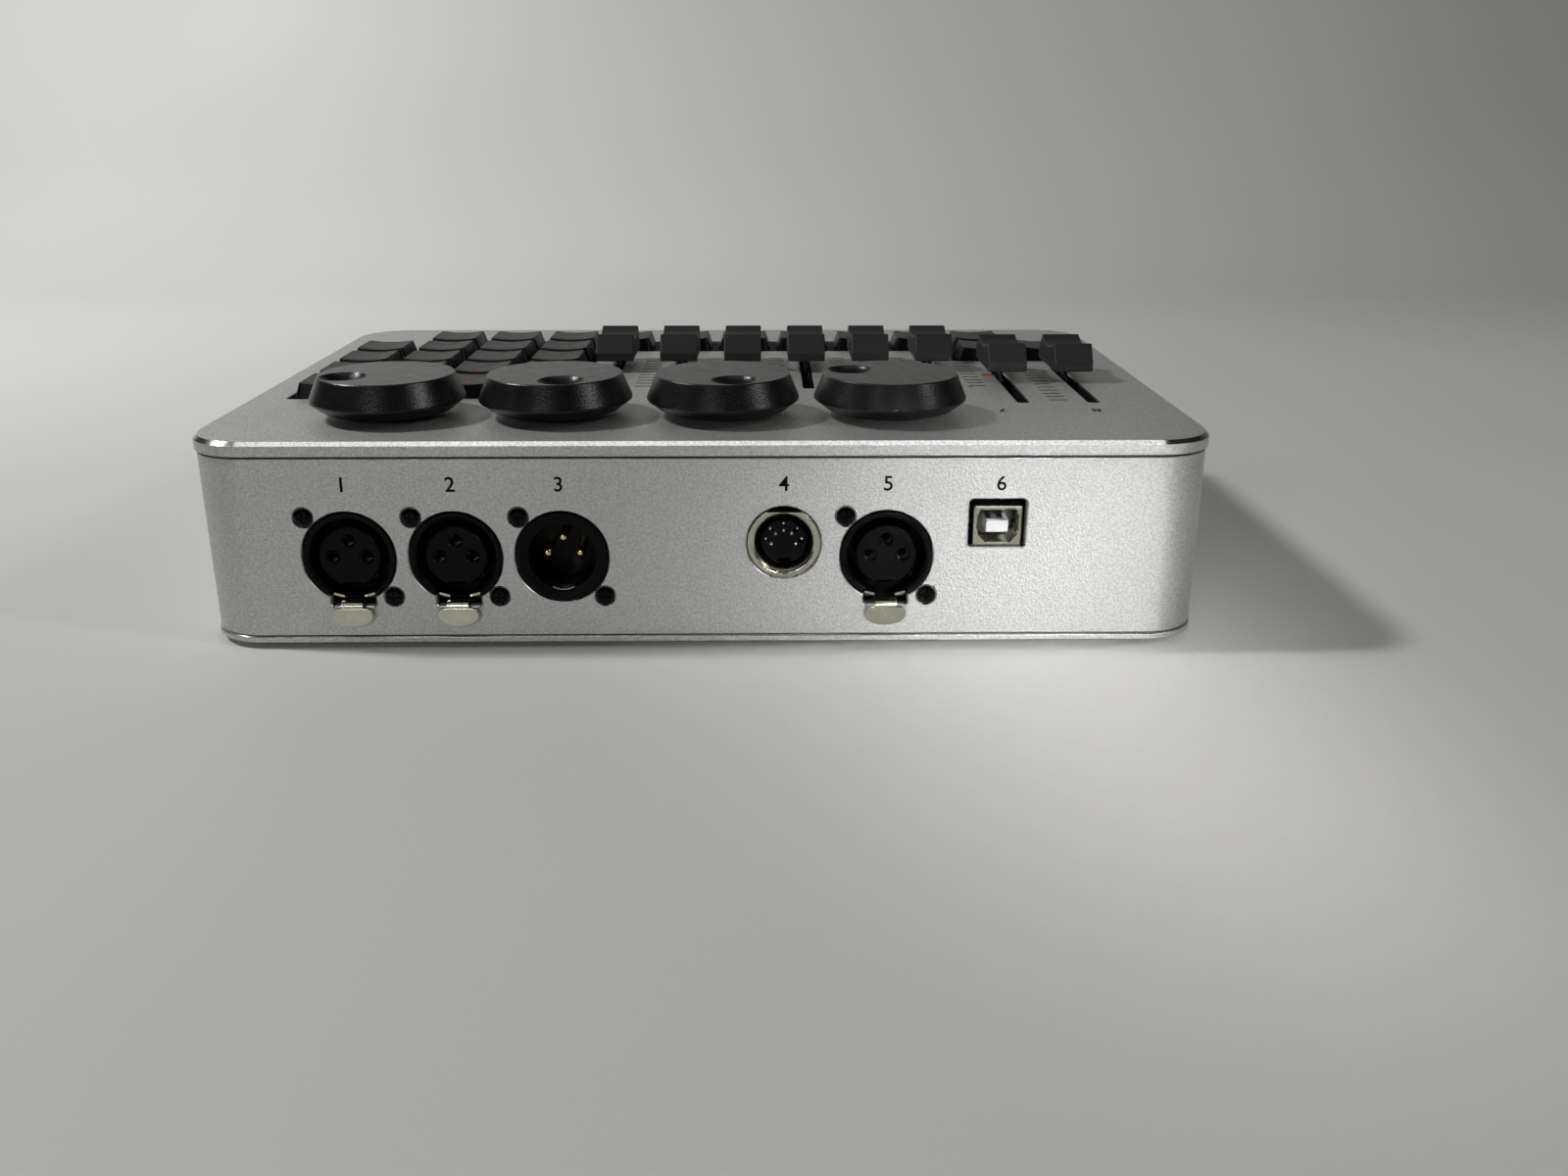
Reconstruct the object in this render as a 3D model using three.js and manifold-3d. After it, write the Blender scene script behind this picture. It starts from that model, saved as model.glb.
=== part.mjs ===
// A lighting console wing: an aluminium case with a thick lid, a wrapped wall and a thin base plate.
// Under the lid one board carries the key switches, slide potentiometers and rotary encoders. A second board
// stands behind the sockets in the wall. Millimetres, +Z up, X along the socket wall, -Y the socket side.
// The origin is on the table under the middle of the whole box that the object fills.
import * as THREE from "three";
import { mergeVertices } from "three/addons/utils/BufferGeometryUtils.js";
import Module from "manifold-3d";

// Case
const lidThickness = 3.6;
const lidCornerRadius = 15;
const lidEdgeChamfer = 1;
const lidOverhang = 0.5;
const lidSeam = 0.6;
const caseHeight = 51;
const wallThickness = 2.5;
const plateThickness = 1.6;
const plateProud = 0.3;
const plateEdgeChamfer = 0.5;
const plateSeam = 0.3;
const footHeight = 1.5;
const footRadius = 6;
const footChamfer = 0.4;
const footInset = 20;
const seatGap = 0.3;

// Lid underside and the posts in the corners of the wall
const rimDepth = 1.6;
const rimThickness = 1.5;
const postRadius = 4.5;
const postInset = 7.5;
const postHoleRadius = 1.25;
const plateHoleRadius = 1.7;
const plateSinkRadius = 3.1;
const studRadius = 2.6;

// Keys, on one pitch both ways, and the lid's margins beside them
const keyPitch = 19.05;
const keyGapX = 2;
const keyGapY = 0.85;
const keypadMargin = 20.2;
const stripMargin = 21.25;
const stripCloser = 1;
const backMargin = 36.1;
const keyHeight = 4.05;
const keyFlare = 1.45;
const keySkirt = 1;
const keyCornerRadius = 1.1;
const keyDish = 0.6;
const keyWall = 1.5;
const keyRoof = 1.6;
const keyTravel = 2.5;
const stemSize = 4.4;
const keyCutGapX = 1.8;
const keyCutGapY = 0.6;
const cutCornerRadius = 1.2;
const rowCount = 5;
const columnNames = ["a", "b", "c", "d"];
const channelCount = 6;

// Faders
const faderTravel = 45;
const faderSlotWidth = 3.1;
const faderSlotCorner = 0.8;
const faderSlotRun = 1.5;
const faderToKeys = 11;
const crossfaderToKeys = 12.15;
const faderRestOffset = 10.6;
const crossfaderRestOffset = 13.1;
const leverWidth = 1.2;
const leverDepth = 4;
const capWidth = 11;
const capLength = 24.8;
const capTop = 11;
const capShoulder = 5.9;
const capBottom = 3.3;
const capRidgeSpan = 17.3;
const capSaddle = 2;
const capWall = 1.4;
const capRoof = 2.2;
const leverBoss = 1.5;

// Encoder knobs
const knobGap = 3.8;
const knobFromSide = 43.7;
const knobMargin = 10.5;
const knobToKeys = 2.1;
const knobTopRadius = 17;
const knobRimRadius = 19.5;
const knobFootRadius = 15.8;
const knobTop = 11;
const knobRim = 5.4;
const knobFoot = 0.9;
const knobEdge = 0.5;
const dimpleRadius = 5.9;
const dimpleDepth = 2.1;
const dimpleFromAxis = 10.8;
const shaftRadius = 3;
const bushWall = 1.3;
const bushBelowTop = 0.5;
// The turn of each knob's finger dimple about its own axis, in degrees from +X
const dimpleTurns = [207, 286, 287, 158];

// Control board under the lid
const partHeight = 7.5;
const boardThickness = 1.6;
const boardGapX = 6;
const boardFromFront = 22.6;
const boardFromBack = 13;
const switchSize = 14;
const potWidth = 8;
const potEndLength = 7.5;
const potFloor = 1.5;
const encoderSize = 12.5;
const encoderFloor = 1.2;

// Sockets in the front wall: the first three from the lid's left side, the others from its middle, and all
// at their heights over the underside of the base plate
const xlrFromSide = 38.5;
const flangeGap = 0.7;
const xlrFourthX = 44.6;
const xlrZ = 22.2;
const xlrHoleRadius = 11.4;
const xlrProud = 0.3;
const xlrLipRadius = 10.4;
const xlrLipDepth = 0.8;
const xlrGrooveRadius = 9.7;
const xlrGrooveDepth = 12;
const xlrInsertRadius = 7.55;
const xlrInsertDepth = 0.6;
const xlrInsertEdge = 0.4;
const xlrContactRadius = 4.05;
const xlrContactHole = 1.45;
const xlrContactDepth = 9;
const xlrScrewOffset = 10.1;
const screwHeadRadius = 2.4;
const screwHeadHeight = 0.8;
const screwCrownShare = 0.6;
const screwRadius = 1.3;
const flangeSize = 25.2;
const flangeCornerRadius = 2;
const flangeThickness = 2;
const socketDepth = 18;
const maleCavityRadius = 8.3;
const maleCavityDepth = 13;
const maleFaceDip = 0.35;
const malePinRadius = 1.2;
const malePinBehindFace = 3;
const malePinTip = 0.5;
const maleCarrierThickness = 2;
const maleStrikeWidth = 5.3;
const maleStrikeHeight = 1.1;
const maleStrikeDepth = 3;

// Latch of a female socket
const latchNotchWidth = 11;
const latchNotchBottom = 12.65;
const latchNotchTop = 8.6;
const latchBoxWidth = 16;
const latchBoxBottom = 13.6;
const latchBoxDepth = 9;
const latchPivotZ = 11.75;
const latchPivotDepth = 4.6;
const latchPinRadius = 0.6;
const latchSheet = 0.6;
const latchNeckWidth = 4.8;
const latchPlateWidth = 9.6;
const latchPlateFront = 3.2;
const latchStandOff = 1.4;
const tabThickness = 0.8;
const tabWidth = 10;
const tabTopWidth = 7;
const tabShoulder = 2;
const tabBottom = 17.3;
const wingInner = 2.5;
const wingOuter = 5;
const wingInnerZ = 10.2;
const wingOuterZ = 9.5;
const wingLength = 1.4;

// Round five-way socket
const dinX = 19.45;
const dinZ = 25.5;
const dinHoleRadius = 9.1;
const dinBoreRadius = 6.9;
const dinFlat = 7.7;
const dinLip = 0.5;
const dinBoreDepth = 9;
const dinInsertRadius = 5.5;
const dinInsertDepth = 1;
const dinContactRadius = 3.7;
const dinContactWidth = 0.9;
const dinContactLength = 2.1;
const dinContactDepth = 5;
const dinKeyWidth = 3.2;
const dinKeyDepth = 1.3;

// Square-ended data socket
const usbX = 72;
const usbZ = 30.05;
const usbCutX = 71.85;
const usbCutZ = 30.35;
const usbCutWidth = 14.7;
const usbCutHeight = 12.1;
const usbCutCorner = 1;
const usbWidth = 12.7;
const usbHeight = 10.8;
const usbCorner = 0.5;
const usbOpeningWidth = 10.2;
const usbOpeningHeight = 8.8;
const usbOpeningCorner = 2.2;
const usbTongueWidth = 5.8;
const usbTongueHeight = 3.4;
const usbTongueDepth = 1.2;
const usbCavityDepth = 10;
const usbFrontDepth = 0.2;

// Board behind the sockets
const socketBoardEnd = 7;
const socketBoardBottom = 8.4;
const socketBoardTop = 36.6;

// Facets of round things, and how far a cut runs past the face it cuts
const knobSides = 28;
const ringSides = 24;
const smallSides = 8;
const footSides = 16;
const cornerSides = 5;
const rimSides = 3;
const dishSides = 3;
const capSides = 4;
const tabSides = 4;
const overrun = 1;
const weldReach = 1e-4;

// Sizes and places that follow from the sizes above
const crossfadeColumn = channelCount;
const masterColumn = channelCount + 1;
const keyTopWidth = keyPitch - keyGapX - 2 * keyFlare;
const keyTopDepth = keyPitch - keyGapY - 2 * keyFlare;
const keyBaseWidth = keyTopWidth + 2 * keyFlare;
const keyBaseDepth = keyTopDepth + 2 * keyFlare;
const columnSteps = columnNames.length + masterColumn;
const lidWidth = keypadMargin + columnSteps * keyPitch - stripCloser + stripMargin;
const knobFromFront = knobMargin + knobRimRadius;
const rowsFromFront = knobFromFront + knobRimRadius + knobToKeys + keyBaseDepth / 2;
const lidDepth = rowsFromFront + (rowCount - 1) * keyPitch + backMargin;
const knobPitch = 2 * knobRimRadius + knobGap;
const xlrPitch = flangeSize + flangeGap;
const xlrFirstX = xlrFromSide - lidWidth / 2;
const tabProud = latchStandOff + tabThickness - lidOverhang;
const lidFrontY = (tabProud - lidDepth) / 2;
const lidMidY = lidFrontY + lidDepth / 2;
const panelY = lidFrontY + lidOverhang;
const plateBottomZ = footHeight;
const plateTopZ = plateBottomZ + plateThickness;
const bodyBottomZ = plateTopZ + plateSeam;
const lidTopZ = plateBottomZ + caseHeight;
const lidBottomZ = lidTopZ - lidThickness;
const bodyTopZ = lidBottomZ - lidSeam;
const boardTopZ = lidBottomZ - seatGap - partHeight;
const boardBottomZ = boardTopZ - boardThickness;
const partTopZ = boardTopZ + partHeight;
const bodyWidth = lidWidth - 2 * lidOverhang;
const bodyDepth = lidDepth - 2 * lidOverhang;
const bodyCornerRadius = lidCornerRadius - lidOverhang;
const innerWidth = bodyWidth - 2 * wallThickness;
const innerDepth = bodyDepth - 2 * wallThickness;
const innerCornerRadius = bodyCornerRadius - wallThickness;
const stemBottomZ = boardTopZ + keyTravel + 2 * seatGap;
const bushRadius = shaftRadius + seatGap + bushWall;
const bushTopZ = lidTopZ - bushBelowTop;
const knobY = lidFrontY + knobFromFront;
const socketBackY = panelY + socketDepth;
const ringRadius = xlrHoleRadius - seatGap;
const flangeFrontY = panelY + wallThickness + seatGap;

const wasm = await Module();
wasm.setup();

// A closed geometry as a solid, turned round if its profile was drawn the other way.
function solid(geometry) {
  const bare = geometry.index ? geometry.clone() : geometry;
  bare.deleteAttribute("normal");
  bare.deleteAttribute("uv");
  const merged = mergeVertices(bare, weldReach);
  const corners = new Uint32Array(merged.index.array);
  const points = new Float32Array(merged.attributes.position.array);
  const build = () => {
    const mesh = new wasm.Mesh({ numProp: 3, vertProperties: points, triVerts: corners });
    return new wasm.Manifold(mesh);
  };
  const made = build();
  if (made.volume() > 0) return made;
  for (let i = 0; i < corners.length; i += 3) corners.subarray(i, i + 2).reverse();
  return build();
}

// A solid as a geometry for a mesh.
function geometryOf(body) {
  const mesh = body.getMesh();
  const points = new Float32Array(mesh.numVert * 3);
  for (let i = 0; i < mesh.numVert; i += 1) {
    points.set(mesh.vertProperties.subarray(i * mesh.numProp, i * mesh.numProp + 3), i * 3);
  }
  const geometry = new THREE.BufferGeometry();
  geometry.setAttribute("position", new THREE.BufferAttribute(points, 3));
  geometry.setIndex(new THREE.BufferAttribute(mesh.triVerts, 1));
  geometry.computeVertexNormals();
  return geometry;
}

const join = (first, ...others) => others.reduce((all, one) => all.add(one), first);
const cut = (first, ...others) => others.reduce((all, one) => all.subtract(one), first);

// A rounded rectangle about (x, y).
function roundedRectangle(width, depth, radius, x = 0, y = 0) {
  const shape = new THREE.Shape();
  const right = width / 2 - radius;
  const far = depth / 2 - radius;
  const quarter = Math.PI / 2;
  shape.absarc(x + right, y + far, radius, 0, quarter);
  shape.absarc(x - right, y + far, radius, quarter, 2 * quarter);
  shape.absarc(x - right, y - far, radius, 2 * quarter, 3 * quarter);
  shape.absarc(x + right, y - far, radius, 3 * quarter, 4 * quarter);
  shape.closePath();
  return shape;
}

// A polygon with square corners that are rounded by the same radius, inner corners too.
function roundedPolygon(corners, radius) {
  const shape = new THREE.Shape();
  corners.forEach((corner, i) => {
    const before = corners[(i + corners.length - 1) % corners.length];
    const after = corners[(i + 1) % corners.length];
    const towards = (end) => {
      const step = new THREE.Vector2(end[0] - corner[0], end[1] - corner[1]).setLength(radius);
      return [corner[0] + step.x, corner[1] + step.y];
    };
    const start = towards(before);
    const end = towards(after);
    if (i === 0) shape.moveTo(...start);
    else shape.lineTo(...start);
    shape.quadraticCurveTo(corner[0], corner[1], end[0], end[1]);
  });
  shape.closePath();
  return shape;
}

// A shape in X and Y raised from one height to another.
function upright(shape, fromZ, toZ, sides = cornerSides) {
  const geometry = new THREE.ExtrudeGeometry(shape, {
    depth: toZ - fromZ,
    bevelEnabled: false,
    curveSegments: sides,
  });
  return solid(geometry.translate(0, 0, fromZ));
}

// A shape in X and Z carried through the front wall from one Y to another.
function throughWall(shape, fromY, toY, sides = cornerSides) {
  const geometry = new THREE.ExtrudeGeometry(shape, {
    depth: toY - fromY,
    bevelEnabled: false,
    curveSegments: sides,
  });
  return solid(geometry.rotateX(Math.PI / 2).translate(0, toY, 0));
}

// A block between two corners.
function block(low, high) {
  const size = high.map((value, i) => value - low[i]);
  const geometry = new THREE.BoxGeometry(...size);
  return solid(geometry.translate(...low.map((value, i) => value + size[i] / 2)));
}

// A profile of [radius, height] turned about a vertical axis at (x, y).
function turned(profile, sides, x = 0, y = 0) {
  const points = profile.map(([radius, height]) => new THREE.Vector2(radius, height));
  const geometry = new THREE.LatheGeometry(points, sides);
  return solid(geometry.rotateX(Math.PI / 2).translate(x, y, 0));
}

// A profile of [radius, Y] turned about an axis along Y at (x, z).
function turnedAlongY(profile, sides, x = 0, z = 0) {
  const points = profile.map(([radius, y]) => new THREE.Vector2(radius, y));
  const geometry = new THREE.LatheGeometry(points, sides);
  return solid(geometry.translate(x, 0, z));
}

const post = (radius, fromZ, toZ, sides, x, y) =>
  turned([[0, fromZ], [radius, fromZ], [radius, toZ], [0, toZ]], sides, x, y);
const barrel = (radius, fromY, toY, sides, x, z) =>
  turnedAlongY([[0, fromY], [radius, fromY], [radius, toY], [0, toY]], sides, x, z);

// A skin over outlines that have as many points each, from the lowest to the highest, closed by flat ends.
function loft(levels) {
  const count = levels[0].length;
  const points = levels.flat();
  const faces = [];
  for (let i = 0; i < count; i += 1) {
    const next = (i + 1) % count;
    levels.slice(1).forEach((_, level) => {
      const low = level * count;
      const high = low + count;
      faces.push(low + i, low + next, high + next, low + i, high + next, high + i);
    });
    if (i > 0 && next > 0) {
      const top = (levels.length - 1) * count;
      faces.push(0, next, i, top, top + i, top + next);
    }
  }
  const geometry = new THREE.BufferGeometry();
  geometry.setAttribute("position", new THREE.Float32BufferAttribute(points.flat(), 3));
  geometry.setIndex(faces);
  return solid(geometry);
}

// The points of a rounded rectangle at one height, without the repeated last one.
function level(width, depth, radius, z, sides = cornerSides, y = 0) {
  const points = roundedRectangle(width, depth, radius, 0, y).getPoints(sides);
  const last = points.length - 1;
  const closed = points[0].distanceTo(points[last]) < radius / sides / sides;
  return (closed ? points.slice(0, last) : points).map((point) => [point.x, point.y, z]);
}

// The corners of a plain rectangle about the middle at one height.
const corners = (width, depth, z) => [
  [width / 2, depth / 2, z],
  [-width / 2, depth / 2, z],
  [-width / 2, -depth / 2, z],
  [width / 2, -depth / 2, z],
];

const paint = {
  anodised: { color: 0xc4c6c8, roughness: 0.42, metalness: 0.85 },
  keyPlastic: { color: 0x26272a, roughness: 0.5, metalness: 0 },
  capPlastic: { color: 0x2c2d30, roughness: 0.6, metalness: 0 },
  knobPlastic: { color: 0x303134, roughness: 0.5, metalness: 0 },
  socketPlastic: { color: 0x0d0d0e, roughness: 0.45, metalness: 0 },
  nickel: { color: 0xb9b6ab, roughness: 0.28, metalness: 1 },
  gold: { color: 0xc9a35a, roughness: 0.3, metalness: 1 },
  board: { color: 0x101412, roughness: 0.6, metalness: 0 },
  whitePlastic: { color: 0xdfe3e2, roughness: 0.4, metalness: 0 },
  rubber: { color: 0x141414, roughness: 0.85, metalness: 0 },
};

const wing = new THREE.Group();

function place(name, geometry, finish, x = 0, y = 0, z = 0) {
  const mesh = new THREE.Mesh(geometry, new THREE.MeshStandardMaterial(paint[finish]));
  mesh.name = name;
  mesh.position.set(x, y, z);
  wing.add(mesh);
}

// Keys: a keypad of four columns and five rows without its far left corner, a row of keys behind the faders
// and two more nearer the sockets at its right end. Row 1 is the operator's.
const rowY = (row) => lidFrontY + rowsFromFront + (rowCount - row) * keyPitch;
const keypadX = (column) => keypadMargin - lidWidth / 2 + column * keyPitch;
const stripX = (column) => lidWidth / 2 - stripMargin - (masterColumn - column) * keyPitch;
const keys = [];
for (let row = 1; row <= rowCount; row += 1) {
  columnNames.forEach((name, column) => {
    if (row === 1 && column === 0) return;
    keys.push({ name: `keypad_key_${name}${row}`, x: keypadX(column), y: rowY(row) });
  });
}
for (let channel = 1; channel <= channelCount; channel += 1) {
  keys.push({ name: `executor_key_${channel}`, x: stripX(channel - 1), y: rowY(1) });
}
keys.push({ name: "crossfade_key_1", x: stripX(crossfadeColumn), y: rowY(1) });
keys.push({ name: "crossfade_key_2", x: stripX(crossfadeColumn), y: rowY(2) });
keys.push({ name: "master_key", x: stripX(masterColumn), y: rowY(2) });

// One key about its own axis, at its real height: a hollow cap with a dished top, on a square stem.
function makeKey() {
  const sides = 1;
  const low = lidTopZ - keySkirt;
  const high = lidTopZ + keyHeight;
  const baseCorner = keyCornerRadius + keyFlare / 2;
  const cap = loft([
    level(keyBaseWidth, keyBaseDepth, baseCorner, low, sides),
    level(keyTopWidth, keyTopDepth, keyCornerRadius, high, sides),
  ]);
  const dishRadius = keyTopWidth ** 2 / (8 * keyDish) + keyDish / 2;
  const halfAngle = Math.asin(keyTopWidth / 2 / dishRadius);
  const dish = new THREE.Shape();
  const downwards = 1.5 * Math.PI;
  dish.absarc(0, high - keyDish + dishRadius, dishRadius, downwards - halfAngle, downwards + halfAngle);
  dish.closePath();
  const roofZ = high - keyDish - keyRoof;
  const hollow = loft([
    corners(keyBaseWidth - 2 * keyWall, keyBaseDepth - 2 * keyWall, low - overrun),
    corners(keyTopWidth - 2 * keyWall, keyTopDepth - 2 * keyWall, roofZ),
  ]);
  const half = stemSize / 2;
  const stem = block([-half, -half, stemBottomZ], [half, half, roofZ + keyRoof / 2]);
  const scoop = throughWall(dish, -keyBaseDepth / 2, keyBaseDepth / 2, dishSides);
  return join(cut(cap, scoop, hollow), stem);
}
const keyGeometry = geometryOf(makeKey());
keys.forEach((key) => place(key.name, keyGeometry, "keyPlastic", key.x, key.y));

// Faders: six channel faders, then the crossfader and the master one pitch row nearer the sockets.
// The slider's lever is pressed into the cap, so the two move as one.
const slotLength = faderTravel + leverDepth + 2 * faderSlotRun;
const faderReach = (slotLength + keyBaseDepth) / 2;
const faders = [];
for (let column = 0; column <= masterColumn; column += 1) {
  const isChannel = column < channelCount;
  const names = { [crossfadeColumn]: "crossfader_cap", [masterColumn]: "master_fader_cap" };
  const midY = isChannel
    ? rowY(1) - faderReach - faderToKeys
    : rowY(2) - faderReach - crossfaderToKeys;
  faders.push({
    name: names[column] ?? `channel_fader_cap_${column + 1}`,
    x: stripX(column),
    midY,
    restY: midY + (isChannel ? faderRestOffset : crossfaderRestOffset),
  });
}
const leverBottomZ = boardTopZ + potFloor + seatGap;

// One cap about its own axis: a side profile with two ridges, a saddle between them and a square skirt.
function makeFaderCap() {
  const bottom = lidTopZ + capBottom;
  const shoulder = lidTopZ + capShoulder;
  const top = lidTopZ + capTop;
  const end = capLength / 2;
  const ridge = capRidgeSpan / 2;
  const saddleRadius = ridge ** 2 / (2 * capSaddle) + capSaddle / 2;
  const halfAngle = Math.asin(ridge / saddleRadius);
  const side = new THREE.Shape();
  side.moveTo(-end, bottom);
  side.lineTo(end, bottom);
  side.lineTo(end, shoulder);
  side.lineTo(ridge, top);
  const centreZ = top - capSaddle + saddleRadius;
  const downwards = 1.5 * Math.PI;
  side.absarc(0, centreZ, saddleRadius, downwards + halfAngle, downwards - halfAngle, true);
  side.lineTo(-end, shoulder);
  side.closePath();
  const geometry = new THREE.ExtrudeGeometry(side, {
    depth: capWidth,
    bevelEnabled: false,
    curveSegments: capSides,
  });
  geometry.rotateX(Math.PI / 2).rotateZ(Math.PI / 2).translate(-capWidth / 2, 0, 0);
  const body = solid(geometry);
  const hollow = block(
    [capWall - capWidth / 2, capWall - end, bottom - overrun],
    [capWidth / 2 - capWall, end - capWall, shoulder + capSaddle / 2 - capRoof / 2],
  );
  const bossX = leverWidth / 2 + leverBoss;
  const bossY = leverDepth / 2 + leverBoss;
  const boss = block([-bossX, -bossY, bottom], [bossX, bossY, shoulder + capSaddle / 2]);
  const lever = block(
    [-leverWidth / 2, -leverDepth / 2, leverBottomZ],
    [leverWidth / 2, leverDepth / 2, shoulder],
  );
  return join(cut(body, hollow), boss, lever);
}
const faderGeometry = geometryOf(makeFaderCap());
faders.forEach((fader) => place(fader.name, faderGeometry, "capPlastic", fader.x, fader.restY));

// Encoder knobs: a double cone with a flat top, a finger dimple off the axis, and the shaft pressed into it.
const knobX = (index) => knobFromSide - lidWidth / 2 + index * knobPitch;
const shaftBottomZ = boardTopZ + encoderFloor + seatGap;

function makeKnob(turn) {
  const z = (height) => lidTopZ + height;
  const body = turned(
    [
      [0, shaftBottomZ],
      [shaftRadius, shaftBottomZ],
      [shaftRadius, z(knobFoot)],
      [knobFootRadius, z(knobFoot)],
      [knobRimRadius, z(knobRim - knobEdge / 2)],
      [knobRimRadius, z(knobRim + knobEdge / 2)],
      [knobTopRadius, z(knobTop - knobEdge)],
      [knobTopRadius - knobEdge, z(knobTop)],
      [0, z(knobTop)],
    ],
    knobSides,
  );
  const ballRadius = dimpleRadius ** 2 / (2 * dimpleDepth) + dimpleDepth / 2;
  const angle = THREE.MathUtils.degToRad(turn);
  const bowl = [];
  const steps = 4;
  const reach = Math.asin(dimpleRadius / ballRadius);
  for (let i = 0; i <= steps; i += 1) {
    const around = (reach * i) / steps;
    const rise = ballRadius - ballRadius * Math.cos(around);
    bowl.push([ballRadius * Math.sin(around), z(knobTop) - dimpleDepth + rise]);
  }
  bowl.push([dimpleRadius, z(knobTop) + overrun], [0, z(knobTop) + overrun]);
  const x = dimpleFromAxis * Math.cos(angle);
  const y = dimpleFromAxis * Math.sin(angle);
  return cut(body, turned(bowl, footSides, x, y));
}
dimpleTurns.forEach((turn, index) => {
  place(`encoder_knob_${index + 1}`, geometryOf(makeKnob(turn)), "knobPlastic", knobX(index), knobY);
});

// Lid: a thick plate with a bevelled edge, cut for keys, faders and encoders, with a rim that locates in the
// wall and studs that the control board hangs from.
const cutX = keyBaseWidth / 2 + keyCutGapX;
const cutY = keyBaseDepth / 2 + keyCutGapY;
const keypadCut = roundedPolygon(
  [
    [keypadX(0) - cutX, rowY(rowCount) - cutY],
    [keypadX(columnNames.length - 1) + cutX, rowY(rowCount) - cutY],
    [keypadX(columnNames.length - 1) + cutX, rowY(1) + cutY],
    [keypadX(1) - cutX, rowY(1) + cutY],
    [keypadX(1) - cutX, rowY(2) + cutY],
    [keypadX(0) - cutX, rowY(2) + cutY],
  ],
  cutCornerRadius,
);
const stripCut = roundedPolygon(
  [
    [stripX(crossfadeColumn) - cutX, rowY(2) - cutY],
    [stripX(masterColumn) + cutX, rowY(2) - cutY],
    [stripX(masterColumn) + cutX, rowY(2) + cutY],
    [stripX(crossfadeColumn) + cutX, rowY(2) + cutY],
    [stripX(crossfadeColumn) + cutX, rowY(1) + cutY],
    [stripX(0) - cutX, rowY(1) + cutY],
    [stripX(0) - cutX, rowY(1) - cutY],
    [stripX(crossfadeColumn) - cutX, rowY(1) - cutY],
  ],
  cutCornerRadius,
);
const boardFrontY = lidFrontY + boardFromFront;
const boardBackY = lidFrontY + lidDepth - lidOverhang - wallThickness - boardFromBack;
const boardHalfWidth = innerWidth / 2 - boardGapX;
const studInset = 2 * studRadius;
const studs = [
  [studInset - boardHalfWidth, boardFrontY + studInset],
  [boardHalfWidth - studInset, boardFrontY + studInset],
  [studInset - boardHalfWidth, boardBackY - studInset],
  [0, boardBackY - studInset],
  [boardHalfWidth - studInset, boardBackY - studInset],
];

function makeLid() {
  const plate = loft([
    level(lidWidth, lidDepth, lidCornerRadius, lidBottomZ, cornerSides, lidMidY),
    level(lidWidth, lidDepth, lidCornerRadius, lidTopZ - lidEdgeChamfer, cornerSides, lidMidY),
    level(
      lidWidth - 2 * lidEdgeChamfer,
      lidDepth - 2 * lidEdgeChamfer,
      lidCornerRadius - lidEdgeChamfer,
      lidTopZ,
      cornerSides,
      lidMidY,
    ),
  ]);
  const rimWidth = innerWidth - 2 * seatGap;
  const rimLength = innerDepth - 2 * seatGap;
  const rimRadius = innerCornerRadius - seatGap;
  const rimOuter = roundedRectangle(rimWidth, rimLength, rimRadius, 0, lidMidY);
  const rimInner = roundedRectangle(
    rimWidth - 2 * rimThickness,
    rimLength - 2 * rimThickness,
    rimRadius - rimThickness,
    0,
    lidMidY,
  );
  const rimBottomZ = bodyTopZ - rimDepth;
  const rim = cut(
    upright(rimOuter, rimBottomZ, lidBottomZ + lidThickness / 2, rimSides),
    upright(rimInner, rimBottomZ - overrun, lidBottomZ, rimSides),
  );
  const reliefs = postPlaces.map(([x, y]) =>
    post(postRadius + seatGap, rimBottomZ - overrun, lidBottomZ, footSides, x, y),
  );
  const tops = studs.map(([x, y]) =>
    post(studRadius, boardTopZ + seatGap, lidBottomZ + lidThickness / 2, smallSides, x, y),
  );
  const slots = faders.map((fader) =>
    upright(
      roundedRectangle(faderSlotWidth, slotLength, faderSlotCorner, fader.x, fader.midY),
      lidBottomZ - overrun,
      lidTopZ + overrun,
      1,
    ),
  );
  const bushHoles = dimpleTurns.map((_, index) =>
    post(bushRadius + seatGap, lidBottomZ - overrun, lidTopZ + overrun, footSides, knobX(index), knobY),
  );
  return cut(
    join(plate, cut(rim, ...reliefs), ...tops),
    upright(keypadCut, lidBottomZ - overrun, lidTopZ + overrun, rimSides),
    upright(stripCut, lidBottomZ - overrun, lidTopZ + overrun, rimSides),
    ...slots,
    ...bushHoles,
  );
}

// Posts in the corners of the wall, which the screws through the base plate hold.
const postX = innerWidth / 2 - postInset;
const postY = innerDepth / 2 - postInset;
const postPlaces = [
  [-postX, lidMidY - postY],
  [postX, lidMidY - postY],
  [-postX, lidMidY + postY],
  [postX, lidMidY + postY],
];
place("top_lid", geometryOf(makeLid()), "anodised");

// Sockets of one family are alike, so each is cut and built from its middle on the front wall.
const socketZ = plateBottomZ + xlrZ;
const femaleSockets = [
  { name: "xlr_socket_1", latch: "xlr_latch_1", x: xlrFirstX },
  { name: "xlr_socket_2", latch: "xlr_latch_2", x: xlrFirstX + xlrPitch },
  { name: "xlr_socket_4", latch: "xlr_latch_4", x: xlrFourthX },
];
const maleSocketX = xlrFirstX + 2 * xlrPitch;
const allXlrX = [...femaleSockets.map((socket) => socket.x), maleSocketX];
const dinMidZ = plateBottomZ + dinZ;
const usbMidZ = plateBottomZ + usbZ;
const screwPlaces = [
  [-xlrScrewOffset, xlrScrewOffset],
  [xlrScrewOffset, -xlrScrewOffset],
];

// A latch notch below a socket, about the socket's middle at (x, z).
function notch(x, z, fromY, toY, bottom) {
  const half = latchNotchWidth / 2;
  return block([x - half, fromY, z - bottom], [x + half, toY, z - latchNotchTop]);
}

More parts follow.
